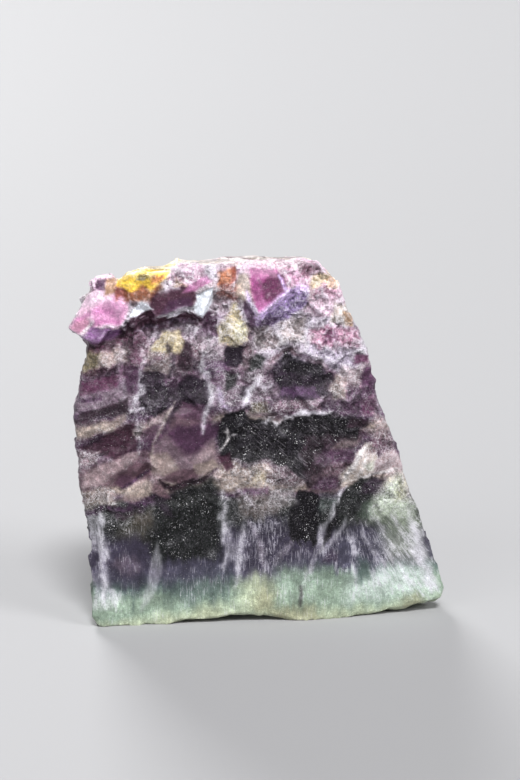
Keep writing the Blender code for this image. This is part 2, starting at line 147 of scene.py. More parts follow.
# Patches of the front: name, colour, strength, softness and roughness of the rim, veil of frost, outline
FRONT_PATCHES = (
    # The green base and the dark part above it
    ("dusky left", "dusky purple", 0.7, 5, 1.5, 0.22,
     ((-35, 10.5), (-24, 10.5), (-10, 13), (-10, 20), (-35, 21))),
    ("dark left", "black green", 0.95, 2.6, 1, 0.05,
     ((-24, 15), (-9, 16), (-7.5, 24), (-8.4, 33), (-10, 36.6), (-14, 35.2), (-19.4, 33), (-21.6, 31.4),
      (-24, 28), (-27, 24))),
    ("spindle", "frost", 0.42, 0.7, 0.5, 0.5,
     ((-23.4, 20.8), (-22.3, 17.4), (-22.5, 13.6), (-23.4, 10), (-25, 6.4), (-27.4, 3.6), (-27, 8),
      (-25.9, 12.4), (-24.8, 16.6))),
    ("head of the left vein", "frost", 0.42, 1, 1.5, 0.85,
     ((-40.4, 28.4), (-36, 28.6), (-35.4, 22), (-36.4, 19), (-38.4, 19.6), (-39.8, 23.6))),
    ("frost at its foot", "frost", 0.3, 1.4, 1.3, 0.7, ((-39, 14), (-34.6, 13), (-32.6, 5.4), (-38.6, 4))),
    ("brown dark left", "olive", 0.3, 2.6, 1, 0.3, ((-33, 22), (-26, 22), (-24.6, 28.5), (-32, 28))),
    ("taupe left", "taupe", 0.4, 2, 1, 0.35, ((-30, 24), (-25, 23.5), (-24.6, 28.8), (-28.5, 28))),
    ("slate middle", "slate", 0.8, 4, 1, 0.25,
     ((-22, 9.4), (-10, 8.6), (-5, 10.6), (-8, 15.5), (-21, 14.8))),
    ("teal middle", "teal", 0.75, 3.4, 1, 0.3,
     ((-22, 6.6), (-12, 5.2), (-5, 7.2), (-5, 11), (-12, 10.4), (-21, 10.2))),
    ("pale green middle", "yellow green", 0.8, 4, 1.2, 0.3,
     ((-4.5, 2.4), (5, 2.6), (5.6, 9), (2, 12), (-4, 10.6))),
    ("cream base middle", "cream yellow", 0.35, 3, 1, 0.3, ((-1.5, 2.2), (6, 1), (6, 8), (1, 8.5))),
    ("dusky middle", "dusky purple", 0.85, 3, 1.2, 0.62,
     ((-3.5, 13.5), (3, 13.5), (8, 14.5), (8, 25), (4, 27), (-2, 25))),
    ("green grey middle", "taupe", 0.7, 2.4, 1.2, 0.5,
     ((-3, 26), (3, 26.5), (7.5, 29), (7, 33), (0, 33.5), (-4, 31.5))),
    ("dark left edge", "dusky purple", 0.7, 1, 1, 0.3, ((-41.5, 9), (-38.6, 10), (-38.2, 20), (-41, 25))),
    ("dark between veins", "black green", 0.7, 0.8, 0.8, 0.3,
     ((-6.4, 24), (-4.4, 24.5), (-4, 30), (-6.3, 31))),
    ("teal right", "teal", 0.85, 2, 0.8, 0.2, ((14.2, 9.6), (18.4, 9.4), (19.4, 13.4), (15, 14.2))),
    ("green right", "sage", 0.8, 3, 1, 0.4,
     ((4.5, 3.5), (13, 2.5), (23, 4), (23, 12), (13, 13.6), (5, 13))),
    ("mint right", "mint", 0.9, 4, 1, 0.7, ((22, 4), (36, 4.4), (44, 6), (42, 13), (31, 13), (23, 11.4))),
    ("slate right", "slate", 0.75, 3, 1, 0.72,
     ((15, 13.5), (29, 12.6), (34, 15), (33, 22), (24, 23), (17, 18))),
    ("dark slate right", "slate", 0.85, 0.5, 1, 0.16, ((20.3, 13), (23.4, 12.8), (24, 19), (20.6, 19))),
    ("dark teal right", "teal", 0.8, 2, 0.8, 0.2, ((24.6, 9.4), (28.4, 9.4), (28.4, 14), (25, 15.2))),
    ("deep purple right", "deep purple", 0.35, 0.8, 0.7, 0.2,
     ((16.4, 14.6), (20.4, 15), (20.2, 17.6), (17, 17.2))),
    ("maroon tint right", "brown mauve", 0.08, 1.5, 1, 0.5, ((30, 13.4), (35.5, 14), (35, 20), (31, 20))),
    ("pale fibres right", "green white", 0.65, 4, 1, 0.75,
     ((32, 14), (42.5, 14), (39.5, 25), (36, 27), (30, 22))),
    ("green white right", "green white", 0.95, 3.4, 1.2, 0.62,
     ((27, 25), (31, 24), (39.5, 23), (38.5, 29), (35.5, 35.5), (31.5, 34), (29, 31))),
    ("moss right", "olive", 0.5, 2, 1, 0.3, ((33.8, 29), (36.5, 29), (36.5, 33.5), (34.4, 34))),
    ("dark window by the wedge", "black", 0.97, 0.35, 0.6, 0.08,
     ((8, 20), (14.6, 19), (15.4, 25), (15, 31.4), (10.4, 32), (7.8, 27))),
    ("dark wedge", "black", 0.97, 0.35, 0.5, 0.1,
     ((14.6, 15.6), (16.6, 18.6), (19.2, 23.6), (21.4, 25), (22, 29), (21.6, 31.6), (19.4, 28),
      (17.2, 22.5))),
    ("black green window", "black green", 0.95, 1, 1.1, 0.16,
     ((20, 24.4), (24, 24.2), (27.6, 25), (27.4, 29), (31, 34.2), (25.5, 35.4), (22, 33.4), (19.8, 30))),
    ("olive right end of it", "sage", 0.3, 1, 0.8, 0.25,
     ((24.4, 25), (28.4, 25.4), (28.6, 29.4), (26, 29))),
    ("dark purple top of it", "deep purple", 0.5, 0.9, 0.8, 0.15,
     ((24.6, 31.4), (29.4, 31.6), (31.4, 35), (27, 34.6))),
    ("teal under the window", "teal", 0.4, 1, 0.8, 0.3, ((14.6, 27), (18.8, 28), (20, 32), (15.4, 32))),
    # The ledge of pale and mauve shards
    ("mauve band left", "brown mauve", 0.85, 0.7, 0.65, 0.25,
     ((-41.5, 33), (-33, 33.8), (-24.5, 36), (-24, 44), (-30, 42), (-41.5, 38))),
    ("tan band left", "beige", 0.6, 0.8, 0.5, 0.28,
     ((-33.2, 30.8), (-28.6, 30.4), (-24.6, 33), (-25, 36.4), (-30, 34))),
    ("cream left", "beige", 0.8, 1.4, 1, 0.7,
     ((-41, 28.6), (-37, 29.8), (-33.6, 30), (-34, 33.4), (-37.5, 34), (-41, 32.4))),
    ("pink left", "pale mauve", 0.7, 0.7, 0.65, 0.32,
     ((-40.8, 34), (-35.6, 35.4), (-33.4, 37.6), (-28, 40.6), (-27, 43), (-32, 41.6), (-36.4, 39.4),
      (-40.6, 37.4))),
    ("leaf", "brown mauve", 0.97, 0.45, 0.35, 0.06,
     ((-33.5, 34.9), (-32.5, 36.7), (-30.8, 38.4), (-29, 39.5), (-27.1, 40), (-25, 39.9), (-24.6, 37.9),
      (-25.3, 37), (-27.5, 36.2), (-30, 34.7), (-32, 33.9))),
    ("leaf's plum end", "plum", 0.5, 1, 0.4, 0.06,
     ((-33.5, 34.9), (-32, 37), (-29.5, 37), (-29, 35.6), (-32, 33.9))),
    ("shard", "mauve", 0.9, 0.5, 0.5, 0.22,
     ((-24.6, 38), (-22, 36), (-17.6, 34.8), (-12, 36.4), (-9, 38.2), (-9.4, 45), (-11, 50), (-13, 53),
      (-18, 53), (-21.4, 48), (-24.4, 43))),
    ("shard's mauve top", "brown mauve", 0.8, 1.2, 0.5, 0.18,
     ((-20.6, 48.6), (-13.4, 48.4), (-13, 53.6), (-18, 54.6), (-20.4, 52))),
    ("shard's plum core", "plum", 0.92, 1.4, 0.5, 0.12,
     ((-21, 47), (-19, 44.4), (-16.4, 42), (-13.4, 42.8), (-11.4, 45), (-9.4, 47), (-10.4, 50), (-13, 49.4),
      (-16, 48.6), (-18.8, 49.2))),
    ("shard's plum right", "plum", 0.8, 1, 0.5, 0.15, ((-13.4, 44), (-8.6, 46.4), (-8.2, 49), (-12, 48.8))),
    ("shard's dark top", "plum", 0.6, 1.2, 0.6, 0.15,
     ((-18.6, 51), (-16.6, 55.6), (-12, 56), (-9.4, 52), (-10, 49.6), (-14, 50))),
    ("shard's pale foot", "beige", 0.65, 1, 0.5, 0.3,
     ((-25, 42), (-24.6, 37.6), (-21.6, 36.6), (-17, 36.4), (-18.6, 39.4), (-21, 42.4))),
    ("shard's pink right", "pale mauve", 0.6, 1, 0.5, 0.25,
     ((-12.6, 37.6), (-9.4, 38.6), (-9.6, 44), (-13, 42.4), (-15.4, 40))),
    ("shard's pale facet", "beige", 0.7, 0.4, 0.4, 0.25,
     ((-15.4, 36.8), (-15, 39.6), (-10, 40.2), (-8.8, 38.4), (-11.6, 37))),
    ("shard's brown foot", "brown mauve", 0.9, 0.6, 0.5, 0.1,
     ((-22, 36), (-18.6, 34.6), (-14, 36.2), (-14.6, 38.4), (-18, 38.6), (-21.4, 37.4))),
    ("brown under the shard", "brown mauve", 0.75, 0.8, 0.6, 0.1,
     ((-24.6, 30.8), (-22.6, 31.6), (-20.4, 31), (-21.6, 34), (-24, 36.4))),
    ("pale middle", "beige", 0.75, 0.7, 1.3, 0.5,
     ((-9.4, 38), (-7, 33.6), (-2, 33.4), (4.6, 33.6), (5.4, 37.4), (2, 39.4), (-2, 38.6), (-6, 40.4))),
    ("yellow in the middle", "cream yellow", 0.5, 0.9, 1, 0.5,
     ((-1, 34.6), (3.4, 34.8), (3.6, 37), (0, 37.6))),
    ("brown right of it", "black brown", 0.6, 1, 1, 0.45,
     ((2.6, 35), (9.4, 32.6), (13, 36), (9, 40), (4.6, 41.4))),
    ("purple under it", "violet", 0.4, 0.6, 0.6, 0.4, ((-2.9, 31.8), (3, 32), (3, 33.6), (-2.6, 33.4))),
    ("grey under it", "grey", 0.7, 1.2, 1, 0.5, ((3, 29), (9.6, 29), (9.8, 33), (3.4, 33))),
    ("fracture", "cream", 0.8, 0.4, 0.6, 0.75,
     ((26.4, 44), (27.9, 43.6), (29, 40), (28, 36.4), (24.6, 35), (21, 33.8), (19.4, 33), (19.9, 35.4),
      (22.4, 38.2), (24.4, 41.4))),
    ("green of the fracture", "green white", 0.6, 0.8, 0.8, 0.7,
     ((26, 39), (28.6, 40), (29, 37.4), (26.6, 36.8))),
    ("pink shard at the right", "pale mauve", 0.9, 0.8, 0.55, 0.85,
     ((28.2, 36.4), (32.4, 36.2), (35.6, 36.6), (35.2, 39.2), (33, 42), (30.6, 41.4), (28.4, 39.4))),
    ("mauve over it", "brown mauve", 0.8, 0.9, 0.9, 0.45,
     ((27, 41.4), (30, 41), (33.6, 42), (32.4, 46.4), (29.6, 46), (27.6, 44.4))),
    # Dark windows
    ("great dark window", "black", 0.97, 0.6, 0.9, 0.1,
     ((-5, 51), (2, 49.4), (5, 48.8), (10, 50), (13, 50.8), (19, 51.8), (23, 50.6), (26.6, 48), (24, 44.6),
      (17, 45), (14, 41), (12.4, 34), (10, 36.4), (7, 38), (3, 39.4), (-1, 38.4), (-5, 40))),
    ("its maroon right part", "black brown", 0.85, 1.4, 1.2, 0.12,
     ((12, 46), (17, 46), (24.6, 45), (24, 41), (20.6, 36), (19.6, 32.6), (12, 33), (11, 40))),
    ("its tan glow", "taupe", 0.62, 1.2, 0.8, 0.25,
     ((17.4, 42), (20, 41.6), (24.6, 43), (24.8, 45), (20, 44.6))),
    ("its purple glow", "plum", 0.85, 0.9, 0.7, 0.2,
     ((14, 39), (19.6, 38), (24, 40.4), (23, 42.6), (16, 42))),
    ("its mauve foot", "brown mauve", 0.7, 0.9, 0.8, 0.3,
     ((15.6, 35.6), (20, 36), (22.4, 39), (18, 38.8), (15.6, 37.6))),
    ("its deep purple foot", "plum", 0.85, 0.9, 0.7, 0.2,
     ((12.8, 32.4), (19.4, 32.6), (19.4, 35.4), (15, 35.8))),
    ("black spot at the right", "black brown", 0.9, 0.8, 0.8, 0.05,
     ((22, 47), (26.4, 47), (26.4, 49.6), (22.6, 50))),
    ("black window at the left", "black", 0.98, 0.5, 1, 0.08,
     ((-7.4, 51.6), (-5, 52), (-2.6, 52.4), (-2.2, 49), (-3, 44), (-5.4, 40), (-8.4, 42), (-8.9, 45.6))),
    ("brown facet under it", "dark maroon", 0.85, 0.5, 0.5, 0.05,
     ((-9, 41), (-6, 42), (-5.4, 38.4), (-7, 37.6), (-8.6, 39))),
    ("upper dark window", "black violet", 0.95, 0.9, 1.2, 0.14,
     ((2.8, 61.5), (5, 63.5), (7.2, 66), (10, 65), (13, 63.3), (15, 62), (17.3, 60.5), (18, 58.4),
      (17.6, 55.8), (10, 54.4), (5.6, 55.4), (4.4, 58.6))),
    ("its black top", "black", 0.8, 1, 1, 0.1,
     ((5, 62), (7.4, 65.6), (10.2, 64.6), (15, 61.8), (16.4, 59.6), (11, 60.6))),
    ("its violet foot", "violet", 0.4, 1, 0.45, 0.2, ((5, 55.6), (15, 55), (14, 57.4), (6.6, 57.4))),
    ("mauve under it", "brown mauve", 0.7, 1, 1, 0.45, ((2.4, 51.4), (15, 51.6), (15, 54.8), (5, 54.8))),
    ("small dark patch", "dark grey", 0.9, 0.7, 0.9, 0.2,
     ((-2.2, 59.4), (1.8, 60), (2.4, 63), (-0.6, 64.6), (-2.6, 62))),
    ("dark block", "black violet", 0.95, 0.5, 0.7, 0.14,
     ((-18.2, 54.6), (-15.6, 53.8), (-11, 54), (-10.4, 57), (-11.8, 60.2), (-15.4, 60.4), (-18, 58))),
    ("dark violet block", "black violet", 0.95, 0.5, 0.7, 0.12,
     ((-7.7, 63), (-4.8, 62.4), (-3, 64), (-2.8, 67.6), (-5.4, 69), (-7.9, 66.6))),
    ("dark left middle", "black violet", 0.8, 1.2, 1, 0.22,
     ((-27, 51), (-20.4, 53.4), (-20, 57), (-22, 61), (-27, 62))),
    ("dark upper middle", "black brown", 0.92, 0.5, 0.7, 0.16,
     ((-18.4, 62), (-14.8, 61.6), (-14.6, 66), (-15.8, 69), (-18.6, 67))),
    # Bands at the left
    ("dark above the shard", "black violet", 0.75, 1, 0.8, 0.15,
     ((-21.4, 48.6), (-17.6, 53), (-16.4, 57), (-20, 57.6), (-24.4, 52.4))),
    ("maroon band", "maroon", 0.8, 0.7, 0.65, 0.22,
     ((-41.5, 56), (-34, 57.4), (-29.6, 60.4), (-30.2, 63.4), (-35, 61), (-41.2, 59.4))),
    ("grey band", "grey mauve", 0.85, 0.7, 0.65, 0.3,
     ((-42, 52.6), (-35, 54.2), (-29.4, 56.4), (-29.8, 60), (-35, 57.2), (-42, 55.8))),
    ("dark line in it", "deep purple", 0.7, 0.4, 0.7, 0.2,
     ((-42, 54.8), (-36, 55.4), (-36, 56.2), (-42, 55.6))),
    ("black brown band", "black brown", 0.88, 0.7, 0.65, 0.2,
     ((-42.6, 49.4), (-36, 51), (-32.4, 51), (-29.8, 51.6), (-30, 55.4), (-34, 54), (-42, 51.8))),
    ("tan band", "beige", 0.75, 0.7, 0.65, 0.28,
     ((-42.6, 46), (-36, 47.6), (-30.4, 50), (-30.6, 51.6), (-36, 50), (-42.8, 48.4))),
    ("maroon black band", "dark maroon", 0.92, 0.7, 0.65, 0.14,
     ((-42, 44), (-37, 45.6), (-32.6, 48.6), (-28.8, 49.6), (-28.4, 43), (-33, 40.6), (-36, 42))),
    ("speckled band", "pale mauve", 0.7, 1, 1, 0.6,
     ((-42.2, 39), (-37, 40.4), (-36.6, 43.2), (-42.4, 43.4))),
    ("dark right of the vein", "plum", 0.75, 0.7, 0.65, 0.2,
     ((-27.4, 43), (-24.6, 42.6), (-20.6, 48), (-20.4, 50), (-24, 49.4), (-27.4, 47.6))),
    ("pink streak", "pale mauve", 0.75, 0.7, 0.65, 0.35,
     ((-25.4, 48.6), (-20.6, 50.6), (-20, 53), (-24.6, 50.8))),
    ("violet between the veins", "plum", 0.75, 0.5, 0.7, 0.25,
     ((-30.6, 57), (-27.6, 56.6), (-27.2, 63), (-30.4, 63))),
    ("grey above the dark", "taupe", 0.8, 0.5, 0.7, 0.5,
     ((-26, 61.6), (-20, 61.2), (-19.4, 67), (-25, 68))),
    ("beige patch", "beige", 0.65, 0.5, 0.7, 0.55,
     ((-37, 63), (-30, 64.6), (-29.4, 68.4), (-33.4, 68.6), (-37, 67))),
    ("olive left", "olive", 0.85, 1, 0.9, 0.2, ((-40.6, 61.4), (-36.8, 62), (-36.4, 67), (-40.4, 67.6))),
    ("maroon blob", "maroon", 0.7, 0.5, 0.7, 0.3, ((-29.6, 64.4), (-27, 63.6), (-26.8, 68), (-29, 68.4))),
    ("yellow grey patch", "cream yellow", 0.85, 0.5, 0.7, 0.5,
     ((-24.6, 66.6), (-18, 66), (-16.4, 69), (-17.4, 71.4), (-22, 71.2))),
    ("pale middle grey", "grey mauve", 0.8, 0.5, 0.7, 0.65,
     ((-13.6, 60), (-8, 60.4), (-7.8, 66), (-12, 66))),
    ("grey white lumps", "frost", 0.35, 0.5, 0.7, 0.65,
     ((-13, 65), (-8, 66), (-6.6, 69.4), (-9, 71), (-12.8, 69))),
    ("violet speckle", "violet", 0.35, 1, 1, 0.4, ((-12.4, 60.6), (-7, 60.6), (-7, 64), (-11.6, 64.4))),
    # Below the crust
    ("grey crumble", "grey lilac", 0.85, 1.4, 1.4, 0.62,
     ((0, 61), (3, 63.6), (8, 67.4), (14, 64.6), (19, 61), (24, 58), (26, 63), (24, 68), (13, 70), (14, 76),
      (6, 73.4), (0, 70.6))),
    ("beige in it", "beige", 0.6, 1.2, 1.2, 0.6, ((5, 68), (12, 69), (12, 74), (6, 72.6))),
    ("lilac in it", "lilac", 0.5, 1.5, 1.2, 0.55,
     ((9.6, 64.4), (18, 62), (24.6, 62), (23, 66), (12, 67.4))),
    ("pale crack zone", "grey mauve", 0.7, 1.2, 1.4, 0.55,
     ((-9.6, 53.6), (2, 53), (4, 59), (1.6, 62), (-8, 61))),
    ("dark spot in the crumble", "black green", 0.85, 0.7, 1, 0.25,
     ((-1.8, 61.4), (1.2, 61.6), (2.4, 64.4), (0.4, 66), (-1.6, 64.6))),
    ("dark gap beside it", "black green", 0.8, 0.7, 1.1, 0.25,
     ((-7.6, 57), (-4.8, 58), (-4.4, 61), (-7.2, 61))),
    ("small dark gap", "black violet", 0.8, 0.6, 1, 0.25,
     ((-4, 55), (-1.6, 55.4), (-1.4, 58.4), (-3.4, 57.8))),
    ("green brown sparkle", "olive", 0.75, 0.9, 1, 0.55, ((-1.4, 51.4), (3, 51.4), (3, 54.4), (-1, 54.4))),
    ("dark mauve right", "plum", 0.7, 1.2, 1.2, 0.35,
     ((19, 50.6), (28, 50.6), (28.6, 57), (24, 57.6), (19.6, 55))),
    ("beige upright patch", "beige", 0.8, 0.9, 1, 0.6, ((17.8, 54.4), (21, 54), (22, 60), (18.6, 60.4))),
    ("pink grey right", "pale mauve", 0.7, 1.2, 1.2, 0.5, ((20, 57), (25, 57), (25.6, 62.4), (20.6, 63))),
    ("rose facet", "maroon", 0.6, 0.6, 0.7, 0.25,
     ((25.4, 50.6), (28, 50), (29.6, 52), (28, 55.4), (25.4, 54.4))),
    ("plum edge", "plum", 0.85, 0.6, 0.7, 0.12, ((25.2, 57.6), (28.8, 57.8), (27.6, 62.2), (25, 61.4))),
    ("maroon edge top", "dark magenta", 0.8, 0.6, 0.7, 0.15,
     ((23.4, 63), (26.8, 63), (26.8, 65.4), (24, 65.4))),
    ("pink beige edge", "pale mauve", 0.6, 0.9, 0.9, 0.5, ((27.6, 45), (32.6, 44), (31, 50), (28, 51.6))),
    # The crust and its crystals
    # The dark hollow is painted shade in the recess under the crust
    ("dark hollow", "dark maroon", 0.95, 0.8, 0.8, 0.1,
     ((-31, 70), (-29, 70.4), (-22, 71.8), (-16, 73), (-12, 71.6), (-8.6, 70.4), (-9.4, 74.6),
      (-12.6, 75.4), (-17, 75.6), (-22, 74.6), (-26, 76.4), (-29.8, 75.4))),
    ("purple right of it", "plum", 0.75, 0.8, 0.9, 0.25,
     ((-14, 70.4), (-8.6, 70), (-8, 74.6), (-12.4, 75))),
    # Painted shadow and painted shade under the pink crystal
    ("shadow under the pink crystal", "dark maroon", 0.92, 0.7, 0.6, 0.08,
     ((-41, 69.8), (-38, 67.4), (-33, 68.4), (-29, 69.6), (-29.6, 71.4), (-34, 70.2), (-37, 69.6))),
    ("brown below it", "dark maroon", 0.85, 1, 0.8, 0.15,
     ((-40.4, 66.6), (-34, 67), (-30, 69.2), (-31, 71.4), (-38, 69.6))),
    ("dark left of the hollow", "dark maroon", 0.9, 0.7, 0.9, 0.15,
     ((-32, 67.4), (-26.4, 67.2), (-25, 70.8), (-29, 72))),
    ("pink crystal", "pale pink", 0.97, 0.5, 0.4, 0.3,
     ((-43.6, 72.6), (-40.8, 70.4), (-36.8, 72.8), (-31.4, 72), (-29, 76.3), (-29.2, 79), (-32, 81),
      (-37.6, 81.6))),
    ("its pink heart", "bright magenta", 0.6, 1.5, 0.45, 0.15,
     ((-38, 73), (-31.6, 72.6), (-30, 76.6), (-32.6, 79.6), (-37.6, 77))),
    # The darker rose of its left facet is its own pink with painted shade
    ("its magenta side", "rose", 0.8, 0.9, 0.4, 0.12,
     ((-43.2, 72.6), (-41, 70.8), (-38.4, 73.4), (-39.4, 75), (-42.2, 74.4))),
    ("its bright streak", "bright magenta", 0.6, 0.5, 0.5, 0.2,
     ((-42.6, 73.4), (-38, 75.4), (-33, 75.6), (-33.4, 76.4), (-38, 76.6), (-42, 74.6))),
    ("its lower streak", "magenta", 0.35, 0.5, 0.5, 0.2,
     ((-38.6, 73.4), (-31.4, 73.2), (-31.6, 74), (-37.4, 74.4))),
    ("its frosted top", "frost", 0.3, 1.2, 0.6, 0.5,
     ((-40, 77), (-36.6, 78), (-32, 80), (-34, 81.4), (-38, 81.2))),
    # Its violet foot faces down: its own violet, with painted shade
    ("its violet foot", "violet", 0.85, 0.7, 0.6, 0.35,
     ((-40.4, 70.2), (-38.2, 72.8), (-34, 72.4), (-31.6, 71.6), (-31.6, 70.2), (-35, 69.2), (-38.6, 68.8))),
    ("dark crystal at the corner", "plum", 0.85, 0.5, 0.6, 0.2,
     ((-37.6, 80.8), (-34.8, 81), (-34.6, 83.8), (-37.2, 83.8))),
    ("tan chip", "tan", 0.9, 0.5, 0.6, 0.3, ((-35, 79.6), (-32.4, 80), (-32.2, 83.6), (-34.8, 83.4))),
    ("orange brown chip", "red brown", 0.8, 0.7, 0.6, 0.25,
     ((-32.6, 78.6), (-29.8, 79.4), (-29.8, 82.8), (-32.4, 82.6))),
    ("brown under the crust", "brown", 0.92, 0.8, 0.7, 0.1,
     ((-30.6, 78), (-26.4, 78.2), (-21.6, 79.4), (-21.4, 82.4), (-26, 83), (-30, 82))),
    ("brown crystal", "dark maroon", 0.95, 0.7, 0.5, 0.1,
     ((-25.4, 75.4), (-23, 74.8), (-15, 77), (-13.6, 79.6), (-15, 81.8), (-20, 82), (-24, 80))),
    ("its plum face", "plum", 0.9, 0.8, 0.4, 0.05,
     ((-22.4, 75.2), (-15, 76.8), (-15.4, 79.4), (-20.4, 78.6))),
    ("grey speckle", "frost", 0.6, 0.8, 1, 0.6, ((-22.4, 80.6), (-17.6, 81), (-17.8, 83.2), (-22, 83))),
    ("yellow crust", "yellow", 0.95, 0.6, 0.6, 0.3,
     ((-32.4, 82), (-29, 80.8), (-26.2, 82), (-24.6, 80.6), (-22.4, 82.4), (-20.4, 83.4), (-19.8, 86.4),
      (-25, 86.4), (-30.4, 86))),
    ("its pale plateau", "pale yellow", 0.85, 0.7, 0.6, 0.4,
     ((-29.6, 84.6), (-20, 85), (-19.6, 87.4), (-30, 86.6))),
    ("its green spots", "olive", 0.75, 0.5, 1.2, 0.1,
     ((-27.8, 82.8), (-24.6, 82.9), (-24.8, 84.2), (-27.4, 84.1))),
    ("its orange part", "orange", 0.85, 0.6, 0.8, 0.15,
     ((-24.4, 82.4), (-21.4, 82.8), (-21, 84.4), (-24, 84.2))),
    ("peach", "tan", 0.7, 0.7, 0.8, 0.4, ((-19.2, 81.6), (-16, 82), (-16, 84.4), (-19, 84.2))),
    ("frosting", "pale pink", 0.9, 0.8, 1, 0.6,
     ((-19.6, 84), (-16.4, 82.4), (-10.4, 83.4), (-9.4, 88.4), (-19, 88))),
    ("mint glow", "frost", 0.8, 0.8, 0.8, 0.5, ((-12.2, 83.2), (-8.8, 83.4), (-8.4, 86.4), (-11.8, 86.6))),
    ("magenta strip", "bright magenta", 0.75, 0.6, 0.5, 0.2,
     ((-17, 80.2), (-14, 80.8), (-10.4, 83), (-11.4, 84.2), (-15.6, 82.2))),
    ("orange crystal", "orange", 0.85, 0.7, 0.7, 0.2,
     ((-9, 81.8), (-6, 82), (-4.8, 84), (-5.2, 86), (-8.4, 85.4))),
    ("its dark edge", "red brown", 0.8, 0.4, 0.4, 0.1,
     ((-5.8, 82), (-4.6, 83), (-4.8, 86.4), (-5.8, 86.4))),
    ("red brown part", "red brown", 0.7, 0.9, 0.9, 0.35, ((-9, 78.6), (-4, 78), (-3.4, 82), (-8.4, 82.4))),
    ("peach strip", "cream", 0.85, 0.6, 0.5, 0.4,
     ((-5, 79.6), (-2.4, 77.8), (-1, 80.4), (-1.4, 84.6), (-4, 84.6))),
    ("mauve speckle", "mauve", 0.75, 1, 1, 0.45, ((-10.6, 74.6), (-5.6, 74.4), (-4.4, 78.6), (-9.8, 79.2))),
    ("cream lump", "cream yellow", 0.92, 0.9, 1.2, 0.65,
     ((-8.9, 68.4), (-5.4, 67.6), (-2, 69), (-0.8, 71.4), (-3, 75.6), (-4.8, 78), (-6.6, 75),
      (-8.8, 72.4))),
    ("its yellow side", "yellow green", 0.3, 1, 0.9, 0.5, ((-4.6, 69), (-1.4, 70.6), (-3, 74.4), (-5, 73))),
    ("crevice", "deep purple", 0.75, 0.5, 0.6, 0.12,
     ((-2.8, 78.2), (-1.9, 78.2), (-0.2, 74.6), (0.6, 72.6), (-0.4, 71.8), (-1.7, 74))),
    ("taupe under it", "taupe", 0.7, 0.9, 1, 0.45, ((0.4, 67), (5, 67), (5.4, 70.8), (0.4, 71.4))),
    ("magenta window", "magenta", 0.97, 0.4, 0.25, 0.3,
     ((-1.4, 85.6), (5, 85.5), (7.6, 80), (0.4, 75.2), (-0.6, 77.6), (-1.2, 80.4))),
    ("its dusky middle", "dark magenta", 0.35, 0.9, 0.45, 0.25,
     ((-0.6, 79), (0.4, 77.8), (5, 78.6), (7.2, 80.4), (6.4, 82.6), (2, 82.8), (-0.6, 81.8))),
    ("its bright foot", "bright magenta", 0.6, 0.6, 0.4, 0.25,
     ((-0.4, 77.8), (0.2, 75.2), (4, 77.8), (1.6, 78.8))),
    ("its dark heart", "dark magenta", 0.97, 0.9, 0.45, 0.3,
     ((1.9, 78.8), (5.4, 78), (7.5, 80.2), (6.2, 84.4), (3.4, 84.8), (1.7, 82.2))),
    ("its pale top", "pale pink", 0.55, 1, 0.45, 0.35, ((-1.4, 84), (5, 83.6), (5, 87), (-1.6, 87))),
    # Below the lilac ridge the violet zone faces down: its own violet with painted shade, darkest at its foot
    ("violet facet", "blue violet", 0.93, 0.6, 0.85, 0.55,
     ((0.1, 74.4), (4, 77), (7.4, 79.6), (9.6, 81), (12.6, 81), (12, 77), (8, 73.6), (4, 71.8),
      (0.6, 72.4))),
    ("its dark foot", "deep purple", 0.6, 0.8, 0.7, 0.2,
     ((0.4, 73.6), (3, 74.2), (5.6, 73.6), (4, 71.8), (0.6, 72.2))),
    ("its bright ridge", "bright lilac", 0.95, 0.5, 0.5, 0.3,
     ((0.2, 75), (3.8, 77.5), (7.6, 80.2), (8.6, 79.4), (4.4, 76.2), (0.8, 73.9))),
    ("pale corner", "pale pink", 0.85, 0.8, 1, 0.6, ((11.5, 84.6), (17, 84), (17, 89), (11.5, 89))),
    ("pale top right", "pale pink", 0.7, 1.2, 1.3, 0.55,
     ((5.2, 86), (7.6, 81), (12.6, 81.4), (17, 80), (19.4, 82), (16.4, 86), (15, 89), (-14, 89),
      (-14, 86.8))),
    ("pink by the window", "pink", 0.6, 1, 1.2, 0.5, ((7.4, 81.6), (12, 82), (12, 85.6), (7, 85))),
    ("rose speckle", "rose", 0.7, 0.8, 1.4, 0.4, ((10.2, 83.4), (13.4, 83), (13.4, 88), (10.6, 87.6))),
    ("warm corner", "pale yellow", 0.6, 0.9, 1, 0.45, ((13, 81.4), (19.4, 81.6), (18, 84.4), (13.6, 84))),
    ("orange dots", "orange", 0.6, 0.5, 1.4, 0.3, ((16.4, 82), (18.6, 82), (18.4, 83.8), (16.6, 83.8))),
    ("rose dots", "rose", 0.75, 0.6, 1.4, 0.35,
     ((13.4, 79), (17, 79), (20.4, 79.4), (19, 81.4), (14.4, 81.4))),
    ("pale below", "pale pink", 0.8, 1.4, 1.2, 0.7, ((12, 74), (19, 74), (21.6, 78), (19, 80), (12.6, 79))),
    ("tan right", "cream", 0.8, 0.9, 1, 0.5, ((17.4, 72.4), (23, 72), (22.6, 77), (18, 77.4))),
    ("orange tan edge", "tan", 0.8, 0.6, 0.8, 0.2, ((20.8, 72), (23.6, 71.6), (23, 75.4), (21, 75))),
    ("rose band", "rose", 0.75, 1, 1.2, 0.4,
     ((12.6, 67.6), (18, 66.6), (24.4, 67), (24.8, 71), (19, 71.8), (13.4, 70.6))),
    ("its dark part", "dark magenta", 0.7, 0.8, 1.2, 0.25,
     ((15.8, 68), (19.8, 67.8), (19.6, 70.6), (16.2, 70.4))),
    ("white bump", "frost", 0.7, 0.7, 0.9, 0.6, ((24, 65.4), (26.6, 65), (26.4, 68.2), (24.2, 68.6))),
    # The base
    ("cream foot", "olive beige", 0.45, 2.5, 1, 0.4, ((4.5, -1), (15, -1), (15, 3.6), (10, 4.2), (5, 3.4))),
    ("olive foot right", "olive beige", 0.5, 2, 0.9, 0.3, ((36, 1), (41, 2), (41, 5.4), (37, 4.6))),
    ("frosted right edge", "frost", 0.7, 1.4, 0.9, 0.5,
     ((37, 27), (40.6, 20), (43, 12), (46, 5), (42.6, 5), (40, 13), (37.4, 22))),
)

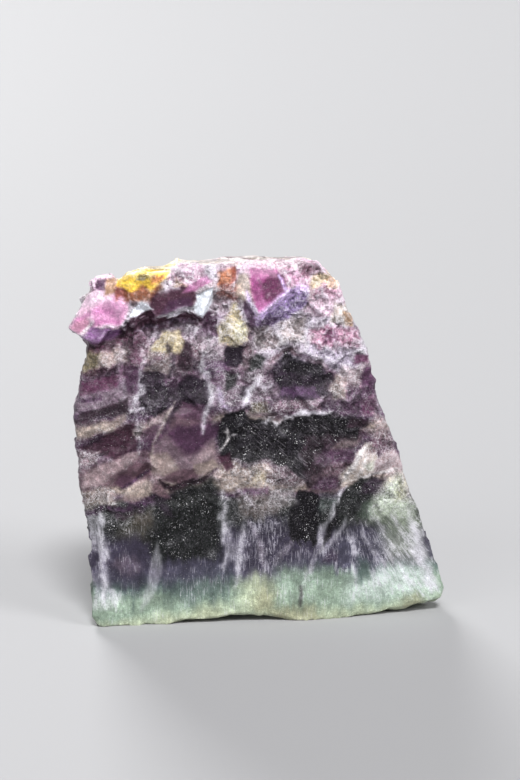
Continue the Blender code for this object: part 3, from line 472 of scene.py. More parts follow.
# Veins, cracks and ridges of the front: name, colour, strength, width, softness, roughness, veil, course
FRONT_VEINS = (
    ("spark in the window", "white", 0.45, 0.35, 0.3, 0.6, 0.3, ((0.6, 80.4), (1.8, 81.2), (2.4, 81))),
    ("second spark in it", "white", 0.5, 0.35, 0.3, 0.6, 0.3, ((2.6, 79.2), (3.4, 79.8))),
    ("third spark in it", "pale pink", 0.8, 0.5, 0.3, 0.6, 0.3, ((0.4, 83.4), (1.2, 82.6), (1.4, 81.8))),
    ("dark gap", "black brown", 0.85, 1.1, 0.5, 0.9, 0.1, ((-30.4, 69), (-29.8, 65), (-30.4, 61))),
    ("dark gap right", "black violet", 0.8, 1.2, 0.5, 0.9, 0.1, ((-20.4, 68.6), (-19.6, 64), (-20.2, 60))),
    ("dark gap left", "dark maroon", 0.8, 1, 0.5, 0.9, 0.1, ((-41, 61), (-36.6, 62.4), (-31, 63.4))),
    ("dark gap by the lumps", "black violet", 0.75, 1, 0.5, 0.9, 0.1,
     ((-14.4, 66), (-13.6, 62), (-9, 60.6))),
    ("fan line", "frost", 0.6, 0.8, 0.5, 0.7, 0.6, ((22, 22.6), (25, 15.4))),
    ("second fan line", "frost", 0.6, 0.9, 0.5, 0.7, 0.6, ((25.6, 23), (28, 18), (31, 13))),
    ("third fan line", "frost", 0.6, 0.8, 0.5, 0.7, 0.6, ((29, 25), (33, 18.6), (36, 14))),
    ("fourth fan line", "frost", 0.65, 1, 0.5, 0.7, 0.6, ((33, 25.6), (37, 19), (41, 13))),
    ("fifth fan line", "frost", 0.6, 0.7, 0.5, 0.7, 0.6, ((29.6, 20), (34, 13.6))),
    ("low fan line", "frost", 0.55, 0.8, 0.5, 0.7, 0.6, ((23.4, 14), (24.6, 8.4))),
    ("second low fan line", "frost", 0.55, 0.9, 0.5, 0.7, 0.6, ((28, 13), (30.4, 7.6))),
    ("third low fan line", "frost", 0.6, 0.9, 0.5, 0.7, 0.6, ((35, 13), (38.6, 7))),
    ("long crack", "black brown", 0.7, 0.6, 0.4, 0.7, 0.1, ((-5, 60), (-1, 58.6), (2, 55.6), (2.6, 52))),
    ("crack at the right", "black brown", 0.7, 0.6, 0.4, 0.7, 0.1, ((16.6, 60), (17.4, 56.4), (16, 53.4))),
    ("left vein", "frost", 0.6, 1.6, 0.9, 1.1, 0.8,
     ((-37, 28), (-36.9, 24.5), (-36.4, 20), (-36, 16.5), (-36, 13.5), (-36.3, 8.5), (-35.9, 4))),
    ("left vein's strand", "frost", 0.5, 1.6, 0.8, 1, 0.7,
     ((-39.6, 27), (-39.2, 23.5), (-38, 20), (-37.2, 17))),
    ("left vein's side strand", "frost", 0.45, 1.2, 0.8, 0.8, 0.6, ((-39.6, 13), (-38.6, 9), (-38.4, 5))),
    ("strand across the left vein", "frost", 0.5, 0.8, 0.5, 0.9, 0.6,
     ((-39.4, 20), (-37, 17.6), (-34.6, 16.6))),
    ("low strand of the left vein", "frost", 0.5, 0.8, 0.5, 0.9, 0.6,
     ((-36.4, 12), (-34.4, 8), (-33.6, 4.6))),
    ("spindle's head", "grey mauve", 0.5, 4, 1.6, 1, 0.4, ((-33.6, 15), (-30, 15.2), (-28, 15))),
    ("central vein", "frost", 0.7, 2, 0.9, 1.1, 0.75,
     ((-7.7, 33), (-7.7, 27.8), (-7.4, 22.8), (-6.8, 20.3), (-6.3, 17.3), (-8.4, 14))),
    ("central vein right", "frost", 0.6, 1.8, 0.9, 1.1, 0.65,
     ((-3.8, 24.8), (-3.5, 21.3), (-4.4, 18.5), (-4.2, 15.8), (-4, 12.5), (-4.6, 9.6))),
    ("central cross vein", "frost", 0.5, 1.6, 0.9, 0.8, 0.6, ((-7.4, 17.4), (-5, 15.6), (-3.8, 14))),
    ("middle strand", "grey lilac", 0.7, 1.4, 0.9, 0.9, 0.55,
     ((-1.8, 25), (0.5, 21.3), (1.8, 17.6), (2.3, 14))),
    ("right middle strand", "grey lilac", 0.55, 1.2, 0.8, 0.9, 0.5,
     ((8.6, 20.4), (6.7, 17.7), (5.4, 14.6))),
    ("pale slanting line", "grey lilac", 0.7, 1, 0.6, 0.8, 0.5, ((-5, 33.6), (-2.4, 31.4), (0, 29))),
    ("slanting vein", "frost", 0.6, 1.7, 0.5, 0.9, 0.7,
     ((20.2, 32), (19.7, 30.5), (18, 26), (16.5, 22.3), (15.4, 19), (14.3, 16.3), (12.6, 12.6))),
    ("slanting vein's arm", "frost", 0.5, 1.3, 0.5, 0.6, 0.6,
     ((14.4, 16), (17, 18.4), (19.5, 21.3), (22.4, 25))),
    ("slanting vein's tail", "frost", 0.35, 1.3, 0.7, 0.6, 0.6,
     ((13.4, 14.6), (12.2, 12), (11.2, 8.6), (10.7, 5.4))),
    ("fracture's bright edge", "white", 0.9, 1.1, 0.4, 0.5, 0.45,
     ((21, 34.4), (22.8, 37.2), (24.8, 40.6), (26.8, 43.4))),
    ("fracture's second edge", "white", 0.8, 0.6, 0.4, 0.5, 0.45,
     ((24.2, 35.6), (25.8, 38.2), (26.4, 41.6))),
    ("fracture's foot", "white", 0.85, 0.8, 0.4, 0.5, 0.45,
     ((24, 35), (27.6, 36), (31, 36.6), (34.6, 36.8))),
    ("pale line beside it", "frost", 0.6, 1, 0.5, 0.8, 0.55, ((22, 33.6), (20.4, 31.6), (19.8, 29))),
    ("upper left vein", "frost", 0.6, 0.8, 0.8, 0.8, 0.7,
     ((-26.6, 68), (-26.4, 63.7), (-26.9, 58.8), (-26.4, 57.4), (-28, 54.5), (-28.4, 52.6), (-27.8, 50.2),
      (-28, 46.6), (-27.5, 42))),
    ("its white knot", "frost", 0.6, 1.1, 0.7, 0.5, 0.75, ((-26.4, 59), (-27.4, 56.2), (-28.4, 53.8))),
    ("its cross", "frost", 0.8, 0.8, 0.4, 1, 0.7, ((-30, 52.4), (-28, 52.6), (-26, 53), (-24.8, 52.8))),
    ("vein at the band's end", "grey lilac", 0.5, 1.4, 0.8, 1, 0.5,
     ((-31.4, 68), (-31.6, 63), (-31.2, 58), (-31, 55))),
    ("lilac vein", "frost", 0.75, 1.5, 0.6, 0.9, 0.7,
     ((-12.4, 66), (-12.4, 62), (-11.3, 60), (-10.6, 57.5), (-10.2, 55.7), (-10.9, 54), (-11.5, 51.5),
      (-12.4, 49.5), (-13.2, 47.2))),
    ("second lilac vein", "lilac", 0.75, 1, 0.6, 0.8, 0.6, ((-8.8, 58), (-8.5, 54.6), (-6.6, 52))),
    ("bright lens", "frost", 0.85, 1.4, 0.6, 0.8, 0.7,
     ((1.4, 60), (0.4, 58.5), (-1.6, 56.8), (-2.5, 54.4), (-3, 53))),
    ("lens's right side", "frost", 0.7, 0.9, 0.5, 1, 0.6, ((0.6, 58.4), (2.6, 57.4), (4, 58.4))),
    ("crack's side branch", "white", 0.85, 0.4, 0.3, 0.8, 0.4, ((-6.3, 44.9), (-5.2, 45.6), (-4.4, 45.4))),
    ("crack's upper branch", "white", 0.85, 0.4, 0.3, 0.8, 0.4, ((-6.5, 46.2), (-7.6, 46.8))),
    ("white crack", "white", 0.95, 0.5, 0.3, 0.8, 0.4,
     ((-6.7, 47.6), (-6.5, 46.2), (-6.3, 44.9), (-7.4, 43.5), (-8.8, 42.4))),
    ("white top line", "frost", 0.9, 1.3, 0.6, 1.2, 0.75,
     ((1, 48.4), (3, 50), (5, 49.2), (10, 50.6), (13, 51.2), (19, 52.2))),
    ("pale rim under the window", "mauve", 0.8, 0.9, 0.5, 0.7, 0.5,
     ((-5.4, 40.6), (-1, 39), (3, 39.8), (7, 38.2), (10, 35.6))),
    ("sharp edge under the shard", "black brown", 0.95, 1.5, 0.3, 0.5, 0.05,
     ((-22.8, 36), (-21.5, 34.3), (-20, 33.5), (-17.8, 34.3), (-13.4, 35.6), (-9.5, 37.9))),
    ("pale line on that edge", "cream", 0.6, 0.35, 0.3, 0.4, 0.3, ((-14, 36.3), (-11.4, 37), (-9.2, 38.8))),
    ("second edge", "black violet", 0.9, 2, 0.6, 0.5, 0.05,
     ((-24.6, 32.4), (-23, 30.3), (-21.3, 28.3), (-20, 27))),
    ("dark line under the leaf", "deep purple", 0.9, 0.8, 0.4, 0.4, 0.05,
     ((-31.6, 34), (-29.6, 34.8), (-27.4, 36.4), (-24.8, 38.4))),
    ("shard's pale edge", "cream", 0.6, 0.6, 0.4, 0.5, 0.5,
     ((-24.4, 40), (-24.2, 44), (-22.6, 48), (-20.8, 51.6), (-19, 54.4))),
    ("purple line", "deep purple", 0.9, 1.5, 0.6, 0.6, 0.12,
     ((-41, 27.8), (-37.5, 28.7), (-35.2, 29.5), (-32, 28.6), (-29, 29.1), (-26, 30.8), (-24.2, 31.8))),
    ("its lower strand", "plum", 0.7, 1, 0.6, 0.7, 0.15,
     ((-34.6, 28.6), (-32.4, 27), (-29.6, 27.4), (-26.6, 29.2))),
    ("pink ridge", "white", 0.75, 0.7, 0.35, 0.4, 0.3, ((-40.9, 70.6), (-39.4, 71.8), (-37.6, 74.2))),
    ("pink ridge's right part", "pale pink", 0.9, 0.7, 0.4, 0.5, 0.4,
     ((-37, 73), (-33.7, 72.6), (-31.6, 72.1))),
    ("pink crystal's right edge", "frost", 0.8, 0.7, 0.4, 0.5, 0.4,
     ((-31.6, 72.1), (-30, 74), (-29.1, 76.3), (-29.5, 78.4))),
    ("pink crystal's left edge", "pale pink", 0.7, 0.7, 0.4, 0.5, 0.4,
     ((-43.2, 72.8), (-41.8, 76), (-39.8, 79.2), (-37.6, 81.2))),
    ("ledge strip", "frost", 0.8, 1.6, 0.5, 0.5, 0.5,
     ((-23, 74.9), (-20, 75.3), (-16.8, 76.4), (-14.8, 76.4), (-12.8, 74.6))),
    ("sparkling line", "lilac", 0.6, 0.9, 0.5, 1.2, 0.5,
     ((-28, 71.4), (-24, 72.6), (-19, 73.2), (-14, 73.2))),
    ("pale left border", "bright lilac", 0.85, 0.9, 0.4, 0.5, 0.4,
     ((-2.4, 80.4), (-1.4, 77.6), (-0.2, 75), (0.4, 74.2))),
    ("lilac ridge", "bright lilac", 0.97, 1.7, 0.8, 0.35, 0.12,
     ((0, 74.5), (2, 75.7), (4.1, 77.3), (7.2, 79.8), (9.6, 80.9), (12.4, 81.4))),
    ("window's right edge", "bright lilac", 0.9, 0.7, 0.3, 0.3, 0.3,
     ((5.1, 84.4), (6.1, 82.2), (7.3, 80.2))),
    ("window's left edge", "rose", 0.7, 0.5, 0.3, 0.4, 0.3,
     ((-1.8, 86), (-1.3, 83), (-0.9, 80), (-0.4, 77.6))),
    ("left crack in the crumble", "white", 0.7, 0.4, 0.3, 0.8, 0.5, ((0, 70), (0.8, 68.8), (1.7, 67.6))),
    ("middle crack in the crumble", "white", 0.7, 0.4, 0.3, 0.8, 0.5,
     ((4.8, 70.4), (5.8, 69), (6.8, 67.8))),
    ("right crack in the crumble", "white", 0.7, 0.4, 0.3, 0.8, 0.5,
     ((10, 69.4), (12.2, 67.2), (13.6, 69.4))),
    ("faint crack in the crumble", "white", 0.6, 0.4, 0.3, 0.8, 0.5,
     ((13.6, 66.4), (15, 64), (16.4, 61.8))),
    ("dark slot", "dark grey", 0.7, 0.8, 0.5, 0.5, 0.1, ((10.6, 8.5), (10.9, 6.5), (10.8, 4))),
    ("dark slit left", "teal", 0.6, 0.7, 0.5, 0.4, 0.2, ((-29.3, 8), (-29.2, 5.6), (-29.4, 3.6))),
    ("purple line upper left", "plum", 0.6, 1.2, 0.8, 0.9, 0.2,
     ((-36, 61), (-31, 63), (-27.6, 62.6), (-22, 65))),
)

# Bright chips of the front, painted last, in the form of the patches
WHITE_CHIPS = (
    ("left chip", "cool white", 1, 0.35, 0.3, 0.1,
     ((-29.5, 74.5), (-28.7, 76.4), (-27.4, 77.9), (-26.4, 78.3), (-25.3, 78), (-24, 76.8), (-26.6, 75.6),
      (-27.6, 74.8))),
    ("right chip", "cool white", 1, 0.35, 0.3, 0.1,
     ((-14.8, 76.8), (-14, 78.6), (-14.1, 79.9), (-12.4, 80.7), (-10, 81.7), (-10, 79), (-10.4, 77.3),
      (-11.8, 75.1), (-12.5, 74.1), (-13.5, 75))),
)

# Patches and veins of the back, in the same forms, which the photograph doesn't show
BACK_PATCHES = (
    ("pale crust", "grey lilac", 0.5, 1.5, 1.4, 0.7, ((-42, 71), (20, 70), (18, 88), (-40, 88))),
    # The dark hollow here is painted shade too
    ("dark hollow", "dark maroon", 0.85, 0.6, 0.8, 0.12,
     ((-30, 70), (-18, 71), (-6, 70), (-8, 74), (-20, 75.4), (-29, 74))),
    ("rose crystal", "rose", 0.9, 0.4, 0.4, 0.3,
     ((-7, 72), (1, 70.6), (6, 75), (5, 82), (-3, 84), (-8, 79))),
    ("its pale face", "pale pink", 0.8, 0.4, 0.4, 0.35, ((-7.6, 78), (-1, 78.6), (5, 81.6), (-3, 84))),
    ("its dark heart", "dark magenta", 0.7, 1, 0.5, 0.2, ((-3, 73.4), (2, 73), (4, 77), (-1, 77.4))),
    ("violet crystal", "blue violet", 0.85, 0.4, 0.5, 0.4,
     ((8, 70), (15, 69), (18, 73), (15, 78), (9, 76.6))),
    ("its dark side", "deep purple", 0.7, 0.6, 0.5, 0.2, ((8, 70), (15, 69), (16, 71.6), (9.6, 73))),
    ("magenta crystal", "bright magenta", 0.85, 0.4, 0.4, 0.25,
     ((-18, 78), (-12, 76), (-9, 80), (-11, 86), (-17, 86))),
    ("its dark foot", "dark magenta", 0.7, 0.6, 0.4, 0.2, ((-18, 78), (-12, 76), (-10.4, 79), (-16.6, 81))),
    ("cream lump", "cream yellow", 0.85, 0.6, 1.1, 0.6,
     ((-30, 72), (-24, 70), (-20, 72), (-20, 77), (-28, 77.6))),
    ("brown under the rust", "brown", 0.8, 0.6, 0.8, 0.2, ((-36, 77), (-24, 76), (-22, 80), (-34, 81))),
    ("rust", "orange", 0.8, 0.6, 0.9, 0.3, ((-34, 80), (-24, 79), (-22, 86), (-33, 86))),
    ("yellow rust", "yellow", 0.85, 0.5, 0.9, 0.25, ((-32, 82), (-26, 81.4), (-24, 85.8), (-31, 85.6))),
    ("pink crystal at the corner", "pale pink", 0.9, 0.4, 0.4, 0.3,
     ((-43, 72), (-37, 71), (-34, 76), (-36, 81), (-42, 80))),
    ("its violet foot", "violet", 0.8, 0.5, 0.5, 0.3, ((-43, 72), (-37, 70), (-35.4, 73), (-41, 74.6))),
)
BACK_VEINS = (
    ("ridge of the rose crystal", "bright lilac", 0.9, 0.9, 0.4, 0.4, 0.3,
     ((-7, 72), (1, 70.8), (6, 75), (5, 82))),
    ("long vein", "frost", 0.75, 1.6, 0.7, 0.9, 0.7,
     ((-22, 66), (-23, 52), (-21, 40), (-22, 28), (-24, 14), (-23, 6))),
    ("slanting vein", "frost", 0.7, 1.4, 0.6, 0.6, 0.65, ((28, 44), (24, 34), (20, 26), (16, 14), (15, 7))),
)

PAINT = {name: np.array(value) / 255 for name, value in COLOURS.items()}


def linear(share):
    """From steps that look even, in which all is mixed here, to the amounts of light of the shader."""
    share = np.clip(share, 0, 1)
    return np.where(share <= 0.04045, share / 12.92, ((share + 0.055) / 1.055) ** 2.4)


def smooth(t):
    t = np.clip(t, 0, 1)
    return t * t * (3 - 2 * t)


def rising(value, start, width):
    """0 up to start, 1 from start + width on, and a soft step between."""
    return smooth((value - start) / width)


def falling(value, end, width):
    """1 up to end - width, 0 from end on, and a soft step between."""
    return smooth((end - value) / width)


# Noise on arrays of points

def lottery(i, j, k, seed):
    """A repeatable number from 0 to 1 for each corner of a grid."""
    n = i * 73856093 ^ j * 19349663 ^ k * 83492791 ^ (seed * 374761393 + 668265263)
    n = (n ^ (n >> 13)) * 1274126177
    n = (n ^ (n >> 16)) * 668265263
    return ((n ^ (n >> 15)) & 0xFFFFF) / 0xFFFFF


def soft_noise(points, seed):
    """Smooth noise from -1 to 1 with a spacing of 1."""
    cell = np.floor(points).astype(np.int64)
    share = smooth(points - cell)
    total = 0
    for corner in product((0, 1), repeat=3):
        wx, wy, wz = (share[:, axis] if far else 1 - share[:, axis] for axis, far in enumerate(corner))
        total = total + wx * wy * wz * lottery(*(cell + corner).T, seed)
    return total * 2 - 1


def rough_noise(points, octaves, seed):
    """Noise with finer noise laid over it, each octave half as wide."""
    total, weight = 0, 1.0
    for octave in range(octaves):
        total = total + weight * soft_noise(points * 2 ** octave + octave * 17.3, seed + octave)
        weight *= 0.55
    return total


def chips(points, seed):
    """Small flat facets: a random number for each, and the height of their tilted faces, about -1 to 1."""
    cell = np.floor(points).astype(np.int64)
    first = np.full(len(points), FAR)
    number = np.zeros(len(points))
    height = np.zeros(len(points))
    for step in product((-1, 0, 1), repeat=3):
        i, j, k = (cell + step).T
        one, two, three, pick, lean = (lottery(i, j, k, seed + draw) for draw in range(5))
        ox, oy, oz = i + one - points[:, 0], j + two - points[:, 1], k + three - points[:, 2]
        square = ox * ox + oy * oy + oz * oz
        near = square < first
        first = np.where(near, square, first)
        tilt = (pick - 0.5) * ox + (lean - 0.5) * oz + (one - 0.5) * oy
        number = np.where(near, pick, number)
        height = np.where(near, 1.6 * tilt + (two - 0.5), height)
    return number, height


# The fine stone

def select_only(piece):
    bpy.ops.object.select_all(action="DESELECT")
    bpy.context.view_layer.objects.active = piece
    piece.select_set(True)


def read(items, key, width, kind=float):
    """The numbers of all points or edges of a mesh, one row each."""
    flat = np.empty(len(items) * width, kind)
    items.foreach_get(key, flat)
    return flat.reshape(-1, width)


def places(stone):
    """The stone's points in millimetres, from the origin that the places are measured from."""
    return read(stone.data.vertices, "co", 3) / MM + STONE_SHIFT


def facings(stone):
    return read(stone.data.vertex_normals, "vector", 3)


def copy_of_slab():
    """The slab's solid, welded, with an even fine skin that is thinned again towards the back."""
    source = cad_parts["fluorite_slab"]
    stone = bpy.data.objects.new("fluorite_stone", source.data.copy())
    bpy.context.scene.collection.objects.link(stone)
    select_only(stone)
    bpy.ops.object.mode_set(mode="EDIT")
    bpy.ops.mesh.select_all(action="SELECT")
    bpy.ops.mesh.remove_doubles(threshold=WELD)
    bpy.ops.mesh.normals_make_consistent(inside=False)
    bpy.ops.object.mode_set(mode="OBJECT")
    skin = stone.modifiers.new("fine skin", "REMESH")
    skin.mode = "VOXEL"
    skin.voxel_size = GRAIN
    bpy.ops.object.modifier_apply(modifier=skin.name)
    group = stone.vertex_groups.new(name="front")
    near = 1 - rising(places(stone)[:, 1], FINE_DEPTH, FINE_FADE)
    for step in range(1, THINNING_STEPS + 1):
        low, high = (step - 0.5) / THINNING_STEPS, (step + 0.5) / THINNING_STEPS
        chosen = np.nonzero((near > low) & (near <= high))[0]
        group.add(chosen.tolist(), step / THINNING_STEPS, "REPLACE")
    faces = sum(len(p.vertices) - 2 for p in stone.data.polygons)
    if faces > TRIANGLES:
        thin = stone.modifiers.new("thin behind", "DECIMATE")
        thin.ratio = TRIANGLES / faces
        thin.vertex_group = group.name
        thin.invert_vertex_group = True
        thin.vertex_group_factor = THINNING_STRENGTH
        bpy.ops.object.modifier_apply(modifier=thin.name)
    return stone


def to_segment(x, z, start, end):
    """Distance to a straight line, and how far along it the nearest place lies, from 0 to 1."""
    run, rise = end - start
    along = np.clip(((x - start[0]) * run + (z - start[1]) * rise) / (run * run + rise * rise), 0, 1)
    return np.hypot(x - start[0] - along * run, z - start[1] - along * rise), along


def depth_inside(x, z, outline):
    """How far each place lies inside an outline, in millimetres, negative outside."""
    points = np.array(outline, float)
    inside = np.zeros(len(x), bool)
    nearest = np.full(len(x), FAR)
    for start, end in zip(points, np.roll(points, -1, axis=0)):
        nearest = np.minimum(nearest, to_segment(x, z, start, end)[0])
        run, rise = end - start
        if rise != 0:
            inside ^= ((start[1] > z) != (end[1] > z)) & (x < run * (z - start[1]) / rise + start[0])
    return np.where(inside, nearest, -nearest)


def distance_to(x, z, course):
    """Distance to a course of points, and how far along it the nearest place lies, from 0 to 1."""
    points = np.array(course, float)
    steps = np.hypot(*(points[1:] - points[:-1]).T)
    gone = np.concatenate(([0], np.cumsum(steps)))
    nearest = np.full(len(x), FAR)
    share = np.zeros(len(x))
    for index, (start, end) in enumerate(zip(points[:-1], points[1:])):
        far, along = to_segment(x, z, start, end)
        closer = far < nearest
        nearest = np.where(closer, far, nearest)
        share = np.where(closer, (gone[index] + along * steps[index]) / gone[-1], share)
    return nearest, share


class Coat:
    """What is painted on the stone, point by point."""

    def __init__(self, stone):
        self.p = places(stone)
        self.n = facings(stone)
        self.x, self.y, self.z = self.p.T
        self.pairs = read(stone.data.edges, "vertices", 2, np.int64)
        self.neighbours = np.maximum(np.bincount(self.pairs.ravel(), minlength=len(self.p)), 1)
        # What is painted: the colour, the veil of frost, how smooth the face is, and where veins crumble
        self.colour = np.zeros((len(self.p), 3))
        self.veil = np.full(len(self.p), 0.45)
        self.calm = np.zeros(len(self.p))
        self.crumbs = np.zeros(len(self.p))
        # Shares from 0 to 1 of the stone's sides and zones. The crust reaches lower at the right
        self.front = falling(self.y, -3.5, 4)
        self.back = rising(self.y, 4, 4)
        self.green = falling(self.z, GREEN_TOP, GREEN_FADE)
        self.crust = rising(self.z + 6 * rising(self.x, -2, 6), CRUST_START, CRUST_FADE)
        # How far the rims of the patches waver, and more along the fibres
        strokes = soft_noise(self.fibre_run() / (0.6, 0.6, 9), seed=9)
        self.shake_x = 0.75 * self.soft(2.6, seed=5) + 0.4 * self.soft(0.9, seed=7)
        self.shake_z = 0.75 * self.soft(2.6, seed=6) + 0.4 * self.soft(0.9, seed=8)
        self.shake_z += 1.3 * strokes * self.green

    def soft(self, spacing, seed):
        """Smooth noise from -1 to 1, its spacing in millimetres or one for each direction."""
        return soft_noise(self.p / spacing, seed)

    def rough(self, spacing, octaves, seed):
        return rough_noise(self.p / spacing, octaves, seed)

    def fibre_run(self):
        """Places across, through and along the fibres: upright, but fanned out downwards at the right."""
        out = np.maximum(self.x - FAN[0], 0)
        down = np.maximum(FAN[1] - self.z, 3)
        across = np.minimum(self.x, FAN[0]) + FAN_SPREAD * np.arctan2(out, down)
        return np.column_stack((across, self.y, np.hypot(out, down)))

    def mean_around(self, values):
        """The mean of the neighbouring points."""
        total = np.bincount(self.pairs[:, 0], values[self.pairs[:, 1]], len(values))
        total += np.bincount(self.pairs[:, 1], values[self.pairs[:, 0]], len(values))
        return total / self.neighbours

    def spread(self, values, rounds):
        """Evens values out with those of the neighbouring points, a number of times."""
        for _ in range(rounds):
            values = 0.5 * values + 0.5 * self.mean_around(values)
        return values

    def put(self, where, mask, colour, veil, calm=0.0):
        """Lays a colour over the stone there. calm is 1 where the face is smooth."""
        self.colour[where] += (PAINT[colour] - self.colour[where]) * mask[:, None]
        self.veil[where] += (veil - self.veil[where]) * mask
        self.calm[where] += (calm - self.calm[where]) * mask

    def cover(self, mask, colour, veil, calm=0.0):
        """Lays a colour over the whole stone, as far as the mask lets it."""
        self.put(slice(None), mask, colour, veil, calm)

    def near(self, points, margin, side, x, z):
        points = np.array(points, float)
        low, high = points.min(axis=0) - margin, points.max(axis=0) + margin
        return np.nonzero((side > 0) & (x > low[0]) & (x < high[0]) & (z > low[1]) & (z < high[1]))[0]

    def wavering(self, where, rough, x, z):
        return x[where] + rough * self.shake_x[where], z[where] + rough * self.shake_z[where]

    def patches(self, table, side, x, z):
        """Paints patches on one side of the stone. x and z say where each point takes its paint from."""
        for _, colour, strength, soft, rough, veil, outline in table:
            where = self.near(outline, 2 + soft, side, x, z)
            depth = depth_inside(*self.wavering(where, rough, x, z), outline)
            calm = float(smooth((0.95 - rough) * 2))
            self.put(where, smooth(depth / soft * 0.7 + 0.5) * strength * side[where], colour, veil, calm)

    def veins(self, table, side, x, z):
        """Paints a table of veins: they narrow at both ends, and the rough ones are broken into strands."""
        for _, colour, strength, width, soft, rough, veil, course in table:
            where = self.near(course, 2 + width, side, x, z)
            far, share = distance_to(*self.wavering(where, rough, x, z), course)
            half = width / 2 * (1 - np.abs(2 * share - 1) ** 4 * 0.7)
            strand = soft_noise(self.p[where] / (0.55, 1, 3.5), seed=11)
            broken = smooth(0.84 + 0.5 * strand) if rough > 0.55 else 1.0
            mask = smooth((half - far) / soft * 0.5 + 0.5) * strength * broken * side[where]
            self.put(where, mask, colour, veil)
            if veil >= 0.5:
                self.crumbs[where] = np.maximum(self.crumbs[where], mask)


def paint_bands(coat):
    """The growth bands of the whole stone. They sag left of the middle and at the lower right."""
    height = coat.z + 0.5 + 1.6 * coat.rough(9, 3, seed=21) + 0.5 * coat.shake_z
    height -= 2.2 * np.exp(-((coat.x + 10) / 12) ** 2)
    height -= 1.6 * rising(coat.x, 2, 10) * falling(coat.z, 24, 10)
    levels = np.array([level for level, _ in BANDS], float)
    colours = np.array([PAINT[name] for _, name in BANDS])
    for channel in range(3):
        coat.colour[:, channel] = np.interp(height, levels, colours[:, channel])
    coat.veil = np.interp(coat.z, *zip(*BAND_VEIL))


def below_crust(table):
    return [row for row in table if max(z for _, z in row[-1]) < CRUST_FOOT]


def paint_back(coat):
    """The bands and veins run through the slab, so the back shows the front's again, drifted and bent."""
    drift_x = coat.x * 0.94 - 4 + 3.5 * coat.soft(15, seed=81)
    drift_z = coat.z + 2 * coat.soft(12, seed=83)
    coat.patches(below_crust(FRONT_PATCHES), coat.back, drift_x, drift_z)
    coat.veins(below_crust(FRONT_VEINS), coat.back, drift_x, drift_z)
    coat.patches(BACK_PATCHES, coat.back, coat.x, coat.z)
    coat.veins(BACK_VEINS, coat.back, coat.x, coat.z)


def paint_top(coat):
    """The top: cream with thin dark growth lines at the right, an iron crust at the left."""
    top = rising(coat.n[:, 2], 0.5, 0.25) * rising(coat.z, 79, 3)
    border = coat.x + 3 * coat.soft(4, seed=91) + 1.5 * coat.soft(1.5, seed=92)
    right = top * rising(border, -18, 3)
    left = top * falling(border, -16, 3) * rising(coat.y, -8.5, 2)
    growth_lines = rising(coat.rough((30, 0.8, 3), 2, seed=31), 0.3, 0.2)
    warm = rising(coat.soft(5, seed=33), 0.1, 0.5)
    coat.cover(right * 0.85, "cream", 0.4, 0.5)
    coat.cover(right * growth_lines * 0.8, "brown mauve", 0.2, 0.5)
    coat.cover(right * warm * 0.5, "pale yellow", 0.3, 0.5)
    coat.cover(left * 0.8, "pale yellow", 0.35)
    for colour, strength, spacing, seed, contrast, threshold in IRON_STAINS:
        stain = smooth(coat.soft(spacing, seed) * contrast - threshold)
        coat.cover(left * stain * strength, colour, 0.2)


def paint_front(coat):
    coat.patches(FRONT_PATCHES, coat.front, coat.x, coat.z)
    coat.veins(FRONT_VEINS, coat.front, coat.x, coat.z)
    coat.patches(WHITE_CHIPS, coat.front, coat.x, coat.z)


def weather(coat, stone):
    """Fine relief, moved out along each point's own direction: chips, saw marks, fibres and crumb."""
    middle = (1 - coat.crust) * (1 - coat.green)
    wild = 1 - 0.85 * coat.calm
    crumbly_right = coat.crust * rising(coat.x, 6, 5)
    coat.chip_number, big_chips = chips(coat.p / BIG_CHIP, seed=41)
    coat.small_number, small_chips = chips(coat.p / SMALL_CHIP, seed=47)
    fibres = rough_noise(coat.fibre_run() / (0.9, 0.9, 6), 2, seed=53)
    # The saw's marks run from the upper left to the lower right
    across_saw = coat.x * 0.66 + coat.z * 0.75
    along_saw = coat.x * 0.75 - coat.z * 0.66
    saw = soft_noise(np.column_stack((across_saw / 0.8, along_saw / 9, coat.y / 4)), seed=59)
    lift = big_chips * (0.05 + 0.42 * coat.crust - 0.2 * crumbly_right + 0.2 * middle) * wild
    lift += small_chips * (0.03 + 0.27 * coat.crust + 0.13 * middle) * wild
    lift += fibres * 0.07 * coat.green
    lift += saw * 0.04 * middle * np.abs(coat.n[:, 1])
    lift += coat.rough(1.0, 2, seed=61) * (0.03 + 0.09 * coat.crust * wild)
    # The step below the crust is evened out on the left. y is a view of the places, which move with it
    even = coat.front * rising(coat.z, 60, 3) * falling(coat.z, 70, 2) * falling(coat.x, -6, 3)
    coat.y += (coat.spread(coat.y, EVENING_ROUNDS) - coat.y) * 0.85 * even
    # The underside stays flat on the floor
    lift *= rising(coat.z, 0.1, 1.2)
    moved = coat.p - STONE_SHIFT + coat.n * lift[:, None]
    moved[:, 2] = np.maximum(moved[:, 2], 0.0)
    stone.data.vertices.foreach_set("co", (moved * MM).ravel())
    stone.data.update()


def ridges_and_hollows(coat, stone):
    """1 on sharp ridges, -1 in hollows."""
    points = places(stone)
    evened = points
    for _ in range(2):
        evened = np.column_stack([coat.mean_around(values) for values in evened.T])
    rise = ((points - evened) * facings(stone)).sum(axis=1)
    return np.clip(coat.spread(rise, 1) / SHARP_RISE, -1, 1)


